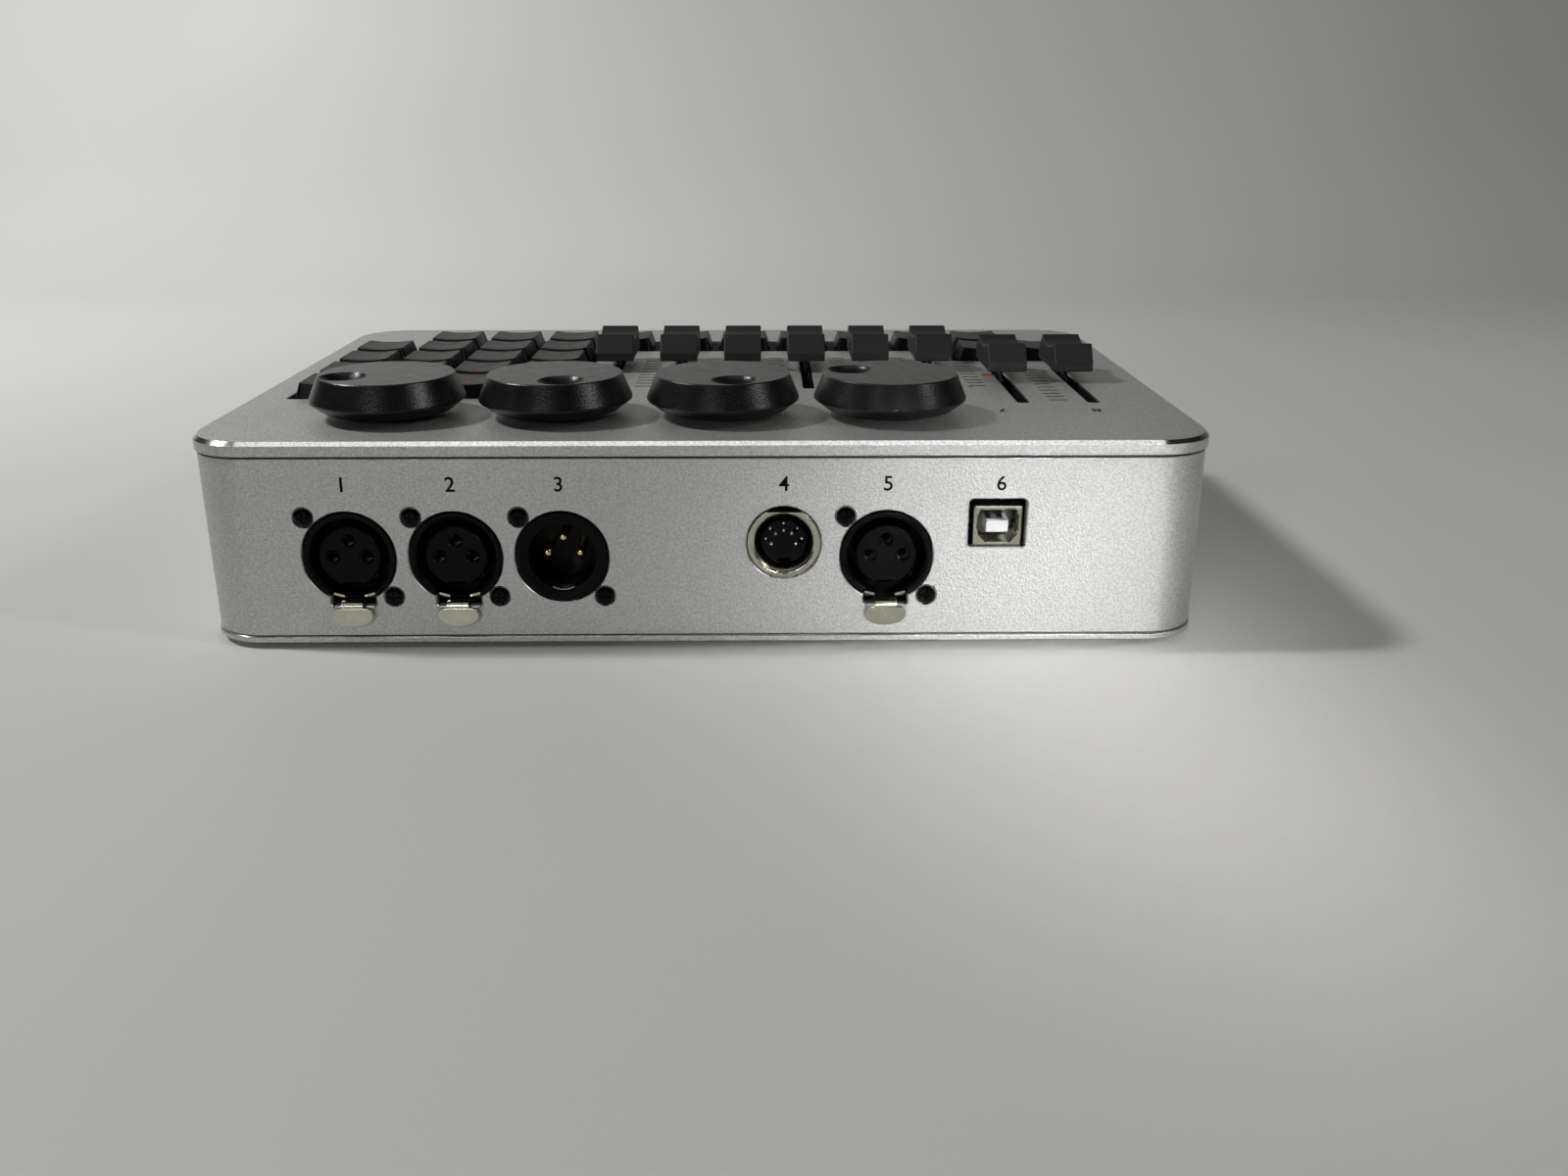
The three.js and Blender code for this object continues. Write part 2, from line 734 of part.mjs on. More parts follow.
// Wall: one band bent round the case, open above and below, cut for the sockets in its front.
function makeWall() {
  const outer = roundedRectangle(bodyWidth, bodyDepth, bodyCornerRadius, 0, lidMidY);
  const inner = roundedRectangle(innerWidth, innerDepth, innerCornerRadius, 0, lidMidY);
  const filled = upright(outer, bodyBottomZ, bodyTopZ);
  const band = cut(filled, upright(inner, bodyBottomZ - overrun, bodyTopZ + overrun));
  const web = postInset + wallThickness / 2;
  const posts = postPlaces.map(([x, y]) => {
    const corner = [Math.sign(x) * web + x, Math.sign(y - lidMidY) * web + y];
    const round = post(postRadius, bodyBottomZ, lidBottomZ - seatGap, footSides, x, y);
    const low = [Math.min(x, corner[0]), Math.min(y, corner[1]), bodyBottomZ];
    const high = [Math.max(x, corner[0]), Math.max(y, corner[1]), bodyTopZ - rimDepth - seatGap];
    return join(round, block(low, high).intersect(filled));
  });
  const postHoles = postPlaces.map(([x, y]) =>
    post(postHoleRadius, bodyBottomZ - overrun, lidBottomZ, smallSides, x, y),
  );
  const from = panelY - overrun;
  const to = panelY + wallThickness + overrun;
  const rounds = allXlrX.flatMap((x) => [
    barrel(xlrHoleRadius, from, to, ringSides, x, socketZ),
    ...screwPlaces.map(([dx, dz]) =>
      barrel(screwRadius + seatGap, from, to, smallSides, x + dx, socketZ + dz),
    ),
  ]);
  const notches = femaleSockets.map((socket) => notch(socket.x, socketZ, from, to, latchNotchBottom));
  const dinHole = barrel(dinHoleRadius, from, to, ringSides, dinX, dinMidZ);
  const usbHole = throughWall(
    roundedRectangle(usbCutWidth, usbCutHeight, usbCutCorner, usbCutX, plateBottomZ + usbCutZ),
    from,
    to,
    3,
  );
  return cut(join(band, ...posts), ...postHoles, ...rounds, ...notches, dinHole, usbHole);
}
place("case_wall", geometryOf(makeWall()), "anodised");

// Base plate: a thin sheet with a broken lower edge and countersunk holes under the posts.
function makeBasePlate() {
  const width = bodyWidth + 2 * plateProud;
  const depth = bodyDepth + 2 * plateProud;
  const radius = bodyCornerRadius + plateProud;
  const plate = loft([
    level(
      width - 2 * plateEdgeChamfer,
      depth - 2 * plateEdgeChamfer,
      radius - plateEdgeChamfer,
      plateBottomZ,
      cornerSides,
      lidMidY,
    ),
    level(width, depth, radius, plateBottomZ + plateEdgeChamfer, cornerSides, lidMidY),
    level(width, depth, radius, plateTopZ, cornerSides, lidMidY),
  ]);
  const sinks = postPlaces.map(([x, y]) =>
    turned(
      [
        [0, plateBottomZ - overrun],
        [plateSinkRadius, plateBottomZ - overrun],
        [plateSinkRadius, plateBottomZ],
        [plateHoleRadius, plateBottomZ + plateSinkRadius - plateHoleRadius],
        [plateHoleRadius, plateTopZ + overrun],
        [0, plateTopZ + overrun],
      ],
      smallSides,
      x,
      y,
    ),
  );
  return cut(plate, ...sinks);
}
place("base_plate", geometryOf(makeBasePlate()), "anodised");

// Feet: low rubber discs stuck under the base plate.
function makeFoot() {
  const top = plateBottomZ - seatGap / 2;
  return turned(
    [
      [0, 0],
      [footRadius - footChamfer, 0],
      [footRadius, footChamfer],
      [footRadius, top],
      [0, top],
    ],
    footSides,
  );
}
const footGeometry = geometryOf(makeFoot());
const footX = bodyWidth / 2 - footInset;
const footY = bodyDepth / 2 - footInset;
const footPlaces = {
  foot_front_left: [-footX, -footY],
  foot_front_right: [footX, -footY],
  foot_back_left: [-footX, footY],
  foot_back_right: [footX, footY],
};
Object.entries(footPlaces).forEach(([name, [x, y]]) =>
  place(name, footGeometry, "rubber", x, lidMidY + y),
);

// Control board: the sheet, with its soldered switch housings, slide potentiometers and encoders.
function makeControlBoard() {
  const sheet = block([-boardHalfWidth, boardFrontY, boardBottomZ], [boardHalfWidth, boardBackY, boardTopZ]);
  const sunk = boardTopZ - boardThickness / 2;
  const half = switchSize / 2;
  const well = stemSize / 2 + seatGap;
  const switches = keys.map((key) =>
    block([key.x - half, key.y - half, sunk], [key.x + half, key.y + half, partTopZ]),
  );
  const wells = keys.map((key) =>
    block(
      [key.x - well, key.y - well, boardTopZ + seatGap],
      [key.x + well, key.y + well, partTopZ + overrun],
    ),
  );
  const potHalf = faderTravel / 2 + potEndLength;
  const pots = faders.map((fader) =>
    block(
      [fader.x - potWidth / 2, fader.midY - potHalf, sunk],
      [fader.x + potWidth / 2, fader.midY + potHalf, partTopZ],
    ),
  );
  const channelX = leverWidth / 2 + seatGap;
  const channelY = faderTravel / 2 + leverDepth / 2 + faderSlotRun;
  const channels = faders.map((fader) =>
    block(
      [fader.x - channelX, fader.midY - channelY, boardTopZ + potFloor],
      [fader.x + channelX, fader.midY + channelY, partTopZ + overrun],
    ),
  );
  const encoderHalf = encoderSize / 2;
  const encoders = dimpleTurns.map((_, index) =>
    join(
      block(
        [knobX(index) - encoderHalf, knobY - encoderHalf, sunk],
        [knobX(index) + encoderHalf, knobY + encoderHalf, partTopZ],
      ),
      post(bushRadius, sunk, bushTopZ, footSides, knobX(index), knobY),
    ),
  );
  const boreRadius = shaftRadius + seatGap;
  const bores = dimpleTurns.map((_, index) =>
    post(boreRadius, boardTopZ + encoderFloor, bushTopZ + overrun, footSides, knobX(index), knobY),
  );
  return cut(join(sheet, ...switches, ...pots, ...encoders), ...wells, ...channels, ...bores);
}
place("control_board", geometryOf(makeControlBoard()), "board");

// The flange that a socket bears on inside the wall, with its two screws and their round heads outside.
function flangeWithScrews() {
  const plate = throughWall(
    roundedRectangle(flangeSize, flangeSize, flangeCornerRadius),
    flangeFrontY,
    flangeFrontY + flangeThickness,
    3,
  );
  const holeRadius = (xlrGrooveRadius + ringRadius) / 2;
  const hole = barrel(holeRadius, flangeFrontY - overrun, socketBackY, ringSides, 0, 0);
  const headY = panelY - seatGap / 2;
  const screws = screwPlaces.map(([x, z]) =>
    turnedAlongY(
      [
        [0, headY - screwHeadHeight],
        [screwHeadRadius * screwCrownShare, headY - screwHeadHeight],
        [screwHeadRadius, headY - screwHeadHeight / 3],
        [screwHeadRadius, headY],
        [screwRadius, headY],
        [screwRadius, flangeFrontY + flangeThickness / 2],
        [0, flangeFrontY + flangeThickness / 2],
      ],
      smallSides,
      x,
      z,
    ),
  );
  return join(cut(plate, hole), ...screws);
}

// The three contact places on a circle: above the middle and to both sides.
const contactShares = [0, 0.5, 1];
const contactPlaces = contactShares.map((share) => [
  xlrContactRadius * Math.cos(Math.PI * share),
  xlrContactRadius * Math.sin(Math.PI * share),
]);

// Female socket about its own axis: ring, groove for the plug, insert with contact holes, latch box.
function makeFemaleSocket() {
  const y = (depth) => panelY + depth;
  const body = turnedAlongY(
    [
      [0, y(xlrInsertDepth)],
      [xlrInsertRadius - xlrInsertEdge, y(xlrInsertDepth)],
      [xlrInsertRadius, y(xlrInsertDepth + xlrInsertEdge)],
      [xlrInsertRadius, y(xlrGrooveDepth)],
      [xlrGrooveRadius, y(xlrGrooveDepth)],
      [xlrGrooveRadius, y(xlrLipDepth - xlrProud)],
      [xlrLipRadius, y(-xlrProud)],
      [ringRadius, y(-xlrProud)],
      [ringRadius, y(socketDepth)],
      [0, y(socketDepth)],
    ],
    ringSides,
  );
  const boxHalf = latchBoxWidth / 2;
  const box = block([-boxHalf, flangeFrontY, -latchBoxBottom], [boxHalf, y(latchBoxDepth), -latchNotchTop]);
  const slotHalf = latchNotchWidth / 2;
  const slot = block(
    [-slotHalf, y(-xlrProud) - overrun, -latchBoxBottom - overrun],
    [slotHalf, y(latchBoxDepth) - latchSheet, -latchNotchTop],
  );
  const bore = new THREE.CylinderGeometry(
    latchPinRadius + seatGap,
    latchPinRadius + seatGap,
    latchBoxWidth + 2 * overrun,
    smallSides,
  );
  const boreSolid = solid(bore.rotateZ(Math.PI / 2).translate(0, y(latchPivotDepth), -latchPivotZ));
  const holes = contactPlaces.map(([x, z]) =>
    barrel(xlrContactHole, y(xlrInsertDepth) - overrun, y(xlrContactDepth), smallSides, x, z),
  );
  return cut(join(body, box, flangeWithScrews()), slot, boreSolid, ...holes);
}
const femaleGeometry = geometryOf(makeFemaleSocket());
femaleSockets.forEach((socket) => place(socket.name, femaleGeometry, "socketPlastic", socket.x, 0, socketZ));

// Latch of a female socket about the socket's axis: bent sheet on a pin across the latch box, with a thumb
// tab outside.
function makeLatch() {
  const y = (depth) => panelY + depth;
  const pinHalf = latchBoxWidth / 2 - seatGap;
  const pin = new THREE.CylinderGeometry(latchPinRadius, latchPinRadius, 2 * pinHalf, smallSides);
  const pinSolid = solid(pin.rotateZ(Math.PI / 2).translate(0, y(latchPivotDepth), -latchPivotZ));
  const sheetLow = -latchPivotZ - latchSheet / 2;
  const sheetHigh = -latchPivotZ + latchSheet / 2;
  const plateHalf = latchPlateWidth / 2;
  const neckHalf = latchNeckWidth / 2;
  const plate = block(
    [-plateHalf, y(latchPlateFront), sheetLow],
    [plateHalf, y(latchPivotDepth), sheetHigh],
  );
  const neckFront = y(-latchStandOff - tabThickness / 2);
  const neck = block([-neckHalf, neckFront, sheetLow], [neckHalf, y(latchPivotDepth), sheetHigh]);
  const tab = new THREE.Shape();
  const top = sheetHigh;
  const shoulderZ = top - tabShoulder;
  tab.moveTo(-tabTopWidth / 2, top);
  tab.quadraticCurveTo(-tabWidth / 2, top, -tabWidth / 2, shoulderZ);
  tab.absellipse(0, shoulderZ, tabWidth / 2, tabBottom + shoulderZ, Math.PI, 2 * Math.PI);
  tab.quadraticCurveTo(tabWidth / 2, top, tabTopWidth / 2, top);
  tab.closePath();
  const tabSolid = throughWall(tab, y(-latchStandOff - tabThickness), y(-latchStandOff), tabSides);
  const wings = [-1, 1].map((side) => {
    const wing = new THREE.Shape();
    wing.moveTo(side * wingInner, -wingInnerZ);
    wing.lineTo(side * wingOuter, -wingOuterZ);
    wing.lineTo(side * wingOuter, -wingOuterZ - latchSheet);
    wing.lineTo(side * wingInner, -wingInnerZ - latchSheet);
    wing.closePath();
    const blade = throughWall(wing, y(wingLength), y(latchPivotDepth), 1);
    const strutX = side * (wingInner + latchSheet / 2);
    const strut = block(
      [strutX - latchSheet / 2, y(latchPlateFront), sheetLow],
      [strutX + latchSheet / 2, y(latchPivotDepth), -wingInnerZ - latchSheet / 2],
    );
    return join(blade, strut);
  });
  return join(pinSolid, plate, neck, tabSolid, ...wings);
}
const latchGeometry = geometryOf(makeLatch());
femaleSockets.forEach((socket) => place(socket.latch, latchGeometry, "nickel", socket.x, 0, socketZ));

// Male socket: a broad dished face round a deep cavity, with a strike for the plug's latch at the bottom.
function makeMaleSocket() {
  const y = (depth) => panelY + depth;
  const body = turnedAlongY(
    [
      [0, y(maleCavityDepth)],
      [maleCavityRadius, y(maleCavityDepth)],
      [maleCavityRadius, y(maleFaceDip)],
      [xlrLipRadius, y(0)],
      [xlrLipRadius + seatGap, y(-xlrProud)],
      [ringRadius, y(-xlrProud)],
      [ringRadius, y(socketDepth)],
      [0, y(socketDepth)],
    ],
    ringSides,
  );
  const half = maleStrikeWidth / 2;
  const strike = block(
    [-half, y(-xlrProud) - overrun, -maleCavityRadius - maleStrikeHeight / 2],
    [half, y(maleStrikeDepth), -maleCavityRadius + maleStrikeHeight],
  );
  return cut(join(body, flangeWithScrews()), strike);
}
place("xlr_socket_3", geometryOf(makeMaleSocket()), "socketPlastic", maleSocketX, 0, socketZ);

// Pins of the male socket in their carrier, which sits on the cavity's floor.
function makeMaleContacts() {
  const floorY = panelY + maleCavityDepth - seatGap;
  const carrier = barrel(maleCavityRadius - seatGap, floorY - maleCarrierThickness, floorY, ringSides, 0, 0);
  const tipY = panelY + malePinBehindFace;
  const pins = contactPlaces.map(([x, z]) =>
    turnedAlongY(
      [
        [0, tipY],
        [malePinRadius - malePinTip, tipY],
        [malePinRadius, tipY + malePinTip],
        [malePinRadius, floorY - maleCarrierThickness / 2],
        [0, floorY - maleCarrierThickness / 2],
      ],
      smallSides,
      x,
      z,
    ),
  );
  return join(carrier, ...pins);
}
place("xlr_pin_carrier_3", geometryOf(makeMaleContacts()), "gold", maleSocketX, 0, socketZ);

// Round socket: a plated shield with a flat on top, about its own axis.
function makeDinShield() {
  const y = (depth) => panelY + depth;
  const outerRadius = dinHoleRadius - seatGap;
  const body = turnedAlongY(
    [
      [dinBoreRadius, y(dinLip)],
      [dinBoreRadius + dinLip, y(0)],
      [outerRadius - dinLip / 2, y(0)],
      [outerRadius, y(dinLip / 2)],
      [outerRadius, y(socketDepth)],
      [dinBoreRadius, y(socketDepth)],
      [dinBoreRadius, y(dinLip)],
    ],
    ringSides,
  );
  const above = block(
    [-dinHoleRadius, y(-overrun), dinFlat],
    [dinHoleRadius, y(socketDepth + overrun), dinHoleRadius + overrun],
  );
  return cut(body, above);
}
place("din_shield", geometryOf(makeDinShield()), "nickel", dinX, 0, dinMidZ);

// Data socket: a plated shell with an opening whose lower corners are cut off, and a tongue in its middle.
function usbOpening(grow) {
  const half = usbOpeningWidth / 2 + grow;
  const tall = usbOpeningHeight / 2 + grow;
  const shape = new THREE.Shape();
  shape.moveTo(half, tall);
  shape.lineTo(-half, tall);
  shape.lineTo(-half, usbOpeningCorner - tall);
  shape.lineTo(usbOpeningCorner - half, -tall);
  shape.lineTo(half - usbOpeningCorner, -tall);
  shape.lineTo(half, usbOpeningCorner - tall);
  shape.closePath();
  return shape;
}
const usbShellShape = roundedRectangle(usbWidth, usbHeight, usbCorner);
place(
  "usb_shell",
  geometryOf(
    cut(
      throughWall(usbShellShape, panelY + usbFrontDepth, socketBackY, 2),
      throughWall(usbOpening(0), panelY - overrun, socketBackY + overrun, 1),
    ),
  ),
  "nickel",
  usbX,
  0,
  usbMidZ,
);

function makeUsbInsert() {
  const back = throughWall(usbOpening(-seatGap), panelY + usbCavityDepth, socketBackY, 1);
  const wide = usbTongueWidth / 2;
  const tall = usbTongueHeight / 2;
  const tongue = block(
    [-wide, panelY + usbTongueDepth, -tall],
    [wide, panelY + usbCavityDepth + seatGap, tall],
  );
  return join(back, tongue);
}
place("usb_insert", geometryOf(makeUsbInsert()), "whitePlastic", usbX, 0, usbMidZ);

// Board behind the sockets, with the round socket's contact carrier soldered to it.
function makeSocketBoard() {
  const frontY = socketBackY + seatGap;
  const sheet = block(
    [xlrFirstX - flangeSize / 2 - seatGap, frontY, plateBottomZ + socketBoardBottom],
    [usbX + usbWidth / 2 + socketBoardEnd, frontY + boardThickness, plateBottomZ + socketBoardTop],
  );
  const insertY = panelY + dinInsertDepth;
  const insert = barrel(dinInsertRadius, insertY, frontY + boardThickness / 2, ringSides, dinX, dinMidZ);
  const base = barrel(
    dinBoreRadius - seatGap,
    panelY + dinBoreDepth,
    frontY + boardThickness / 2,
    ringSides,
    dinX,
    dinMidZ,
  );
  const slotShares = [0, 0.25, 0.5, 0.75, 1];
  const slots = slotShares.map((share) => {
    const corner = dinContactWidth / 3;
    const shape = roundedRectangle(dinContactLength, dinContactWidth, corner, dinContactRadius, 0);
    const geometry = new THREE.ExtrudeGeometry(shape, {
      depth: dinContactDepth + overrun,
      bevelEnabled: false,
      curveSegments: 1,
    });
    geometry.rotateZ(Math.PI * share).rotateX(Math.PI / 2);
    return solid(geometry.translate(dinX, insertY + dinContactDepth, dinMidZ));
  });
  const key = block(
    [dinX - dinKeyWidth / 2, insertY - overrun, dinMidZ - dinInsertRadius - overrun],
    [dinX + dinKeyWidth / 2, panelY + dinBoreDepth, dinMidZ - dinInsertRadius + dinKeyDepth],
  );
  return cut(join(sheet, base, insert), ...slots, key);
}
place("socket_board", geometryOf(makeSocketBoard()), "board");

export default wing;
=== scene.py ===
import math

import bmesh
import bpy
from mathutils import Matrix, Vector
from mathutils.geometry import tessellate_polygon


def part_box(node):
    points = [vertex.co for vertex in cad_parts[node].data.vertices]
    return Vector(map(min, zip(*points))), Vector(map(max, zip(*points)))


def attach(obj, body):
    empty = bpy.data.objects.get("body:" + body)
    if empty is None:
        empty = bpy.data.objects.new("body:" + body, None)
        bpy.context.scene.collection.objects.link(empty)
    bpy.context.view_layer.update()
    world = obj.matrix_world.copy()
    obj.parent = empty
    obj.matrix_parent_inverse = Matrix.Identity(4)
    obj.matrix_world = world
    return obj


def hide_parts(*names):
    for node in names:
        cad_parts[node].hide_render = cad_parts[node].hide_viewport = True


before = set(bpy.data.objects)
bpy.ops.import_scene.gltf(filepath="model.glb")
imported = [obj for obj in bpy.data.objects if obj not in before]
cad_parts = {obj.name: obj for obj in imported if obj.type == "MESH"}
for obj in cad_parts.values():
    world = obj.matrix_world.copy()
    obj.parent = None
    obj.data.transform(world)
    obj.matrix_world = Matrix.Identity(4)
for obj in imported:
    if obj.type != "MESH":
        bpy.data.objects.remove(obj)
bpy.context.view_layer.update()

# The looks of a lighting console wing, in metres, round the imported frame: a blasted aluminium case with keys,
# faders and knobs on its lid and sockets in its front wall, which looks along -Y.
CASE = "case"
OVERRUN = 0.001

# Case
LID_THICKNESS = 0.0036
LID_CORNER = 0.015
LID_CHAMFER = 0.001
LID_OVERHANG = 0.0005
LID_SEAM = 0.0006
LID_EASE = 0.00012
HOLE_EASE = 0.0002
WALL_THICKNESS = 0.0025
WALL_EASE = 0.00012
CUT_CHAMFER = 0.00035
CUT_CORNER = 0.0012
RIM_DEPTH = 0.0016
RIM_THICKNESS = 0.0015
RIM_GAP = 0.0003
POST_RADIUS = 0.0045
POST_INSET = 0.0075
STUD_RADIUS = 0.0026
STUD_INSET = 0.0052
PLATE_CHAMFER = 0.0002
PLATE_EASE = 0.00012
PLATE_CORNER = 0.0148
PLATE_HOLE = 0.0017
PLATE_SINK = 0.0031
PLATE_SCREW = 0.0029
PLATE_SHANK = 0.00136
FOOT_EDGE = 0.0004

# Cross of a screw head, against its size
CROSS_SLIMNESS = 4.2
CROSS_CORNER = 1 / 12
CROSS_TAPER = 1 / 14

# Keys
KEY_TOP = Vector((0.01415, 0.0153))
KEY_HEIGHT = 0.00405
KEY_SKIRT = 0.001
KEY_CORNER = 0.0011
KEY_DISH = 0.0006
KEY_EDGE = 0.0003
KEY_WALL = 0.0015
KEY_ROOF = 0.0022
KEY_STEM = 0.0022
KEY_CUT_GAP = Vector((0.0018, 0.0006))
KEY_FOOT_CORNER = 0.00187
KEY_SIDE_SHARES = (0.02, 0.35, 0.7, 1.0)

# Faders
SLOT_SIZE = Vector((0.0031, 0.052))
SLOT_CORNER = 0.0008
CHANNEL_REST = 0.0106
CROSS_REST = 0.0131
CAP_WIDTH = 0.011
CAP_LENGTH = 0.0248
CAP_TOP = 0.011
CAP_SHOULDER = 0.0059
CAP_BOTTOM = 0.0033
CAP_RIDGE = 0.0173
CAP_SADDLE = 0.002
CAP_WALL = 0.0014
CAP_ROOF = 0.0058
CAP_EDGE = 0.00035
CAP_BEND = 0.0005
LEVER_SIZE = Vector((0.0012, 0.004))
LEVER_EASE = 0.0002

# Knobs
KNOB_TOP = 0.011
KNOB_RIM = 0.0048
KNOB_BASE = 0.0021
KNOB_FOOT = 0.0009
KNOB_RADII = (0.0171, 0.0195, 0.0163, 0.012)
KNOB_EDGE = 0.0005
DIMPLE_RADIUS = 0.0059
DIMPLE_DEPTH = 0.0027
DIMPLE_FROM_AXIS = 0.0108
DIMPLE_EASE = 0.0002
DIMPLE_TURNS = (207, 286, 287, 158)
SHAFT_RADIUS = 0.003
BUSH_HOLE = 0.0049

# Three-pole sockets, about their own axes; depths run from the front wall's face inwards
XLR_FLANGE = 0.0252
XLR_HOLE = 0.0114
XLR_RING = 0.0111
XLR_PROUD = 0.00005
XLR_LIP = 0.0104
XLR_LIP_DEPTH = 0.0005
XLR_GROOVE = 0.0097
XLR_GROOVE_DEPTH = 0.012
XLR_INSERT = 0.00755
XLR_INSERT_DEPTH = 0.0006
XLR_EDGE = 0.00035
XLR_BACK = 0.018
CONTACT_CIRCLE = 0.00405
CONTACT_HOLE = 0.0015
CONTACT_DEPTH = 0.009
SLEEVE_DEPTH = 0.0028
SLEEVE_OUTER = 0.001425
SLEEVE_INNER = 0.00123
RECESS = Vector((0.0046, 0.0022))
NUB = Vector((0.0012, 0.0014))
NUB_TURN = -40
FLANGE_FRONT = 0.0028
FLANGE_THICKNESS = 0.002
FLANGE_CORNER = 0.002
FLANGE_HOLE = 0.01115
SCREW_OFFSET = 0.0101
SCREW_HEAD = 0.00226
SCREW_HEIGHT = 0.0004
SCREW_SINK = 0.0004
SCREW_SHANK = 0.0013
NOTCH_WIDTH = 0.011
NOTCH_BOTTOM = 0.01265
NOTCH_TOP = 0.0086
NOTCH_CORNER = 0.0008
LATCH_BOX = 0.016
LATCH_BOX_BOTTOM = 0.0136
LATCH_BOX_DEPTH = 0.009
LATCH_PIVOT = 0.01175
LATCH_PIVOT_DEPTH = 0.0046
LATCH_PIN = 0.0006
LATCH_SHEET = 0.0006
LATCH_NECK = 0.0052
LATCH_BEND = 0.0008
LATCH_NECK_LINE = (
    (-0.0018, 0.0132),
    (-0.0018, 0.0114),
    (-0.0002, 0.0114),
    (0.0018, LATCH_PIVOT),
    (0.0045, LATCH_PIVOT),
)
LATCH_PLATE = 0.0096
LATCH_PLATE_FRONT = 0.0042
TAB_STAND_OFF = 0.0014
TAB_THICKNESS = 0.0008
TAB_WIDTH = 0.01
TAB_TOP = 0.007
TAB_TOP_DROP = 0.0125
TAB_SHOULDER = 0.002
TAB_BOTTOM = 0.0173
WING_INNER = Vector((0.0025, -0.0102))
WING_OUTER = Vector((0.005, -0.0095))
WING_DEPTH = 0.0014
CAVITY_RADIUS = 0.0083
CAVITY_DEPTH = 0.013
FACE_DIP = 0.00035
PIN_RADIUS = 0.0012
PIN_TIP_DEPTH = 0.003
CARRIER_THICKNESS = 0.002
STRIKE_WIDTH = 0.0053
STRIKE_HEIGHT = 0.0011
STRIKE_DEPTH = 0.003

# Round five-way socket
DIN_HOLE = 0.0091
DIN_RADIUS = 0.0089
DIN_BORE = 0.0069
DIN_FLAT = 0.0077
DIN_LIP = 0.0005
DIN_INSERT = 0.0055
DIN_INSERT_DEPTH = 0.001
DIN_BASE_DEPTH = 0.009
DIN_CONTACT_CIRCLE = 0.0037
DIN_CONTACT_TURNS = ((0, 45), (45, 45), (90, 90), (135, 135), (180, 135))
DIN_SLOT = Vector((0.0026, 0.0009))
DIN_SLOT_DEPTH = 0.005
DIN_KEY = Vector((0.0032, 0.0013))

# Square-ended data socket
USB_CUT = Vector((0.014, 0.0121))
USB_CUT_CORNER = 0.001
USB_CUT_X = 0.07145
USB_CUT_Z = 0.03185
USB_SHIFT = 0.00015
USB_SHELL = Vector((0.0118, 0.01))
USB_CORNER = 0.0005
USB_DEPTH = 0.0002
USB_OPENING = Vector((0.0095, 0.0082))
USB_OPENING_CUT = Vector((0.0019, 0.0022))
USB_NICK = 0.0005
USB_NOTCH = (-0.0008, 0.0028, 0.0004)
USB_TONGUE = Vector((0.0055, 0.0031))
USB_DROP = 0.0004
USB_TONGUE_DROP = 0.0003
USB_TONGUE_DEPTH = 0.0012
USB_CAVITY = 0.0075
USB_CONTACT_LEFTS = (-0.0026, 0.0002)
USB_CONTACT_DEPTHS = (0.0026, 0.003)
USB_CONTACT_WIDTH = 0.0013
USB_CONTACT_LEAN = 0.0006
USB_CONTACT_LENGTH = 0.002

# Print
PRINT_RISE = 0.00002
PRINT_SINK = 0.00001
KEY_PRINT_RISE = 0.00004
FIGURE_WEIGHT = 0.012
TICK_LENGTH = 0.0049
TICK_WIDTH = 0.00085
TICK_COUNT = 11
SCALE_OFFSET = 0.01005
SCALE_LENGTH = 0.045
PANEL_NUMBER_HEIGHT = 0.0037
PANEL_NUMBER_Z = 0.04205
LID_NUMBER_X = {"7": 0.07725, "8": 0.10205}
LID_NUMBER_Y = -0.0509
LID_NUMBER_HEIGHT = 0.0039
LID_FIGURE_PLACES = ((0.0736, -0.0092), (0.0736, -0.019))
LID_FIGURE_HEIGHT = 0.0013
COLOUR_MARK_SIZE = (0.0041, 0.0034)
COLOUR_MARK_CORNER = 0.0004
COLOUR_MARK_PLACE = (0.08157, -0.0008)
KEYS_WITH_FIGURES = ("b2", "b3", "b4", "a4", "c4", "c5", "a5")
KEY_FIGURE_HEIGHT = 0.0021
KEY_FIGURE_DROP = 0.0045

# Looks: the values of a noise between which its tones blend, and the polish of faces that slant
NOISE_LOW = 0.3
NOISE_HIGH = 0.7
SLANT_LOW = 0.2
SLANT_HIGH = 0.95
STEEP_LOW = 0.66
SLANT_POLISH = 0.24
STEEP_POLISH = 0.18
SLANT_FADE = 0.9

# Sides of round shapes, and steps in arcs and edges
KNOB_SIDES = 128
SOCKET_SIDES = 96
DIN_HOLE_SIDES = 80
PAD_SIDES = 64
SHAFT_SIDES = 48
POST_SIDES = 40
STUD_SIDES = 32
HINGE_SIDES = 24
CASE_STEPS = 20
RIM_STEPS = 12
KEY_CORNER_STEPS = 5
KEY_SIDE_STEPS = 8
KEY_TOP_STEPS = 9
DISH_STEPS = 14
TAB_STEPS = 16

# Sweep and camera
SWEEP_HALF = 3.0
SWEEP_NEAR = -2.5
SWEEP_TURN = 0.6
SWEEP_RADIUS = 0.35
SWEEP_HIGH = 1.8
SWEEP_STEPS = 16
FOCAL_PIXELS = 1387.15
PHOTO_WIDTH = 1600
SENSOR = 36.0
CAMERA_PLACE = (0.01439, -0.40147, 0.12716)
CAMERA_PITCH = 19.45
CAMERA_YAW = 0.93
CAMERA_ROLL = 0.09

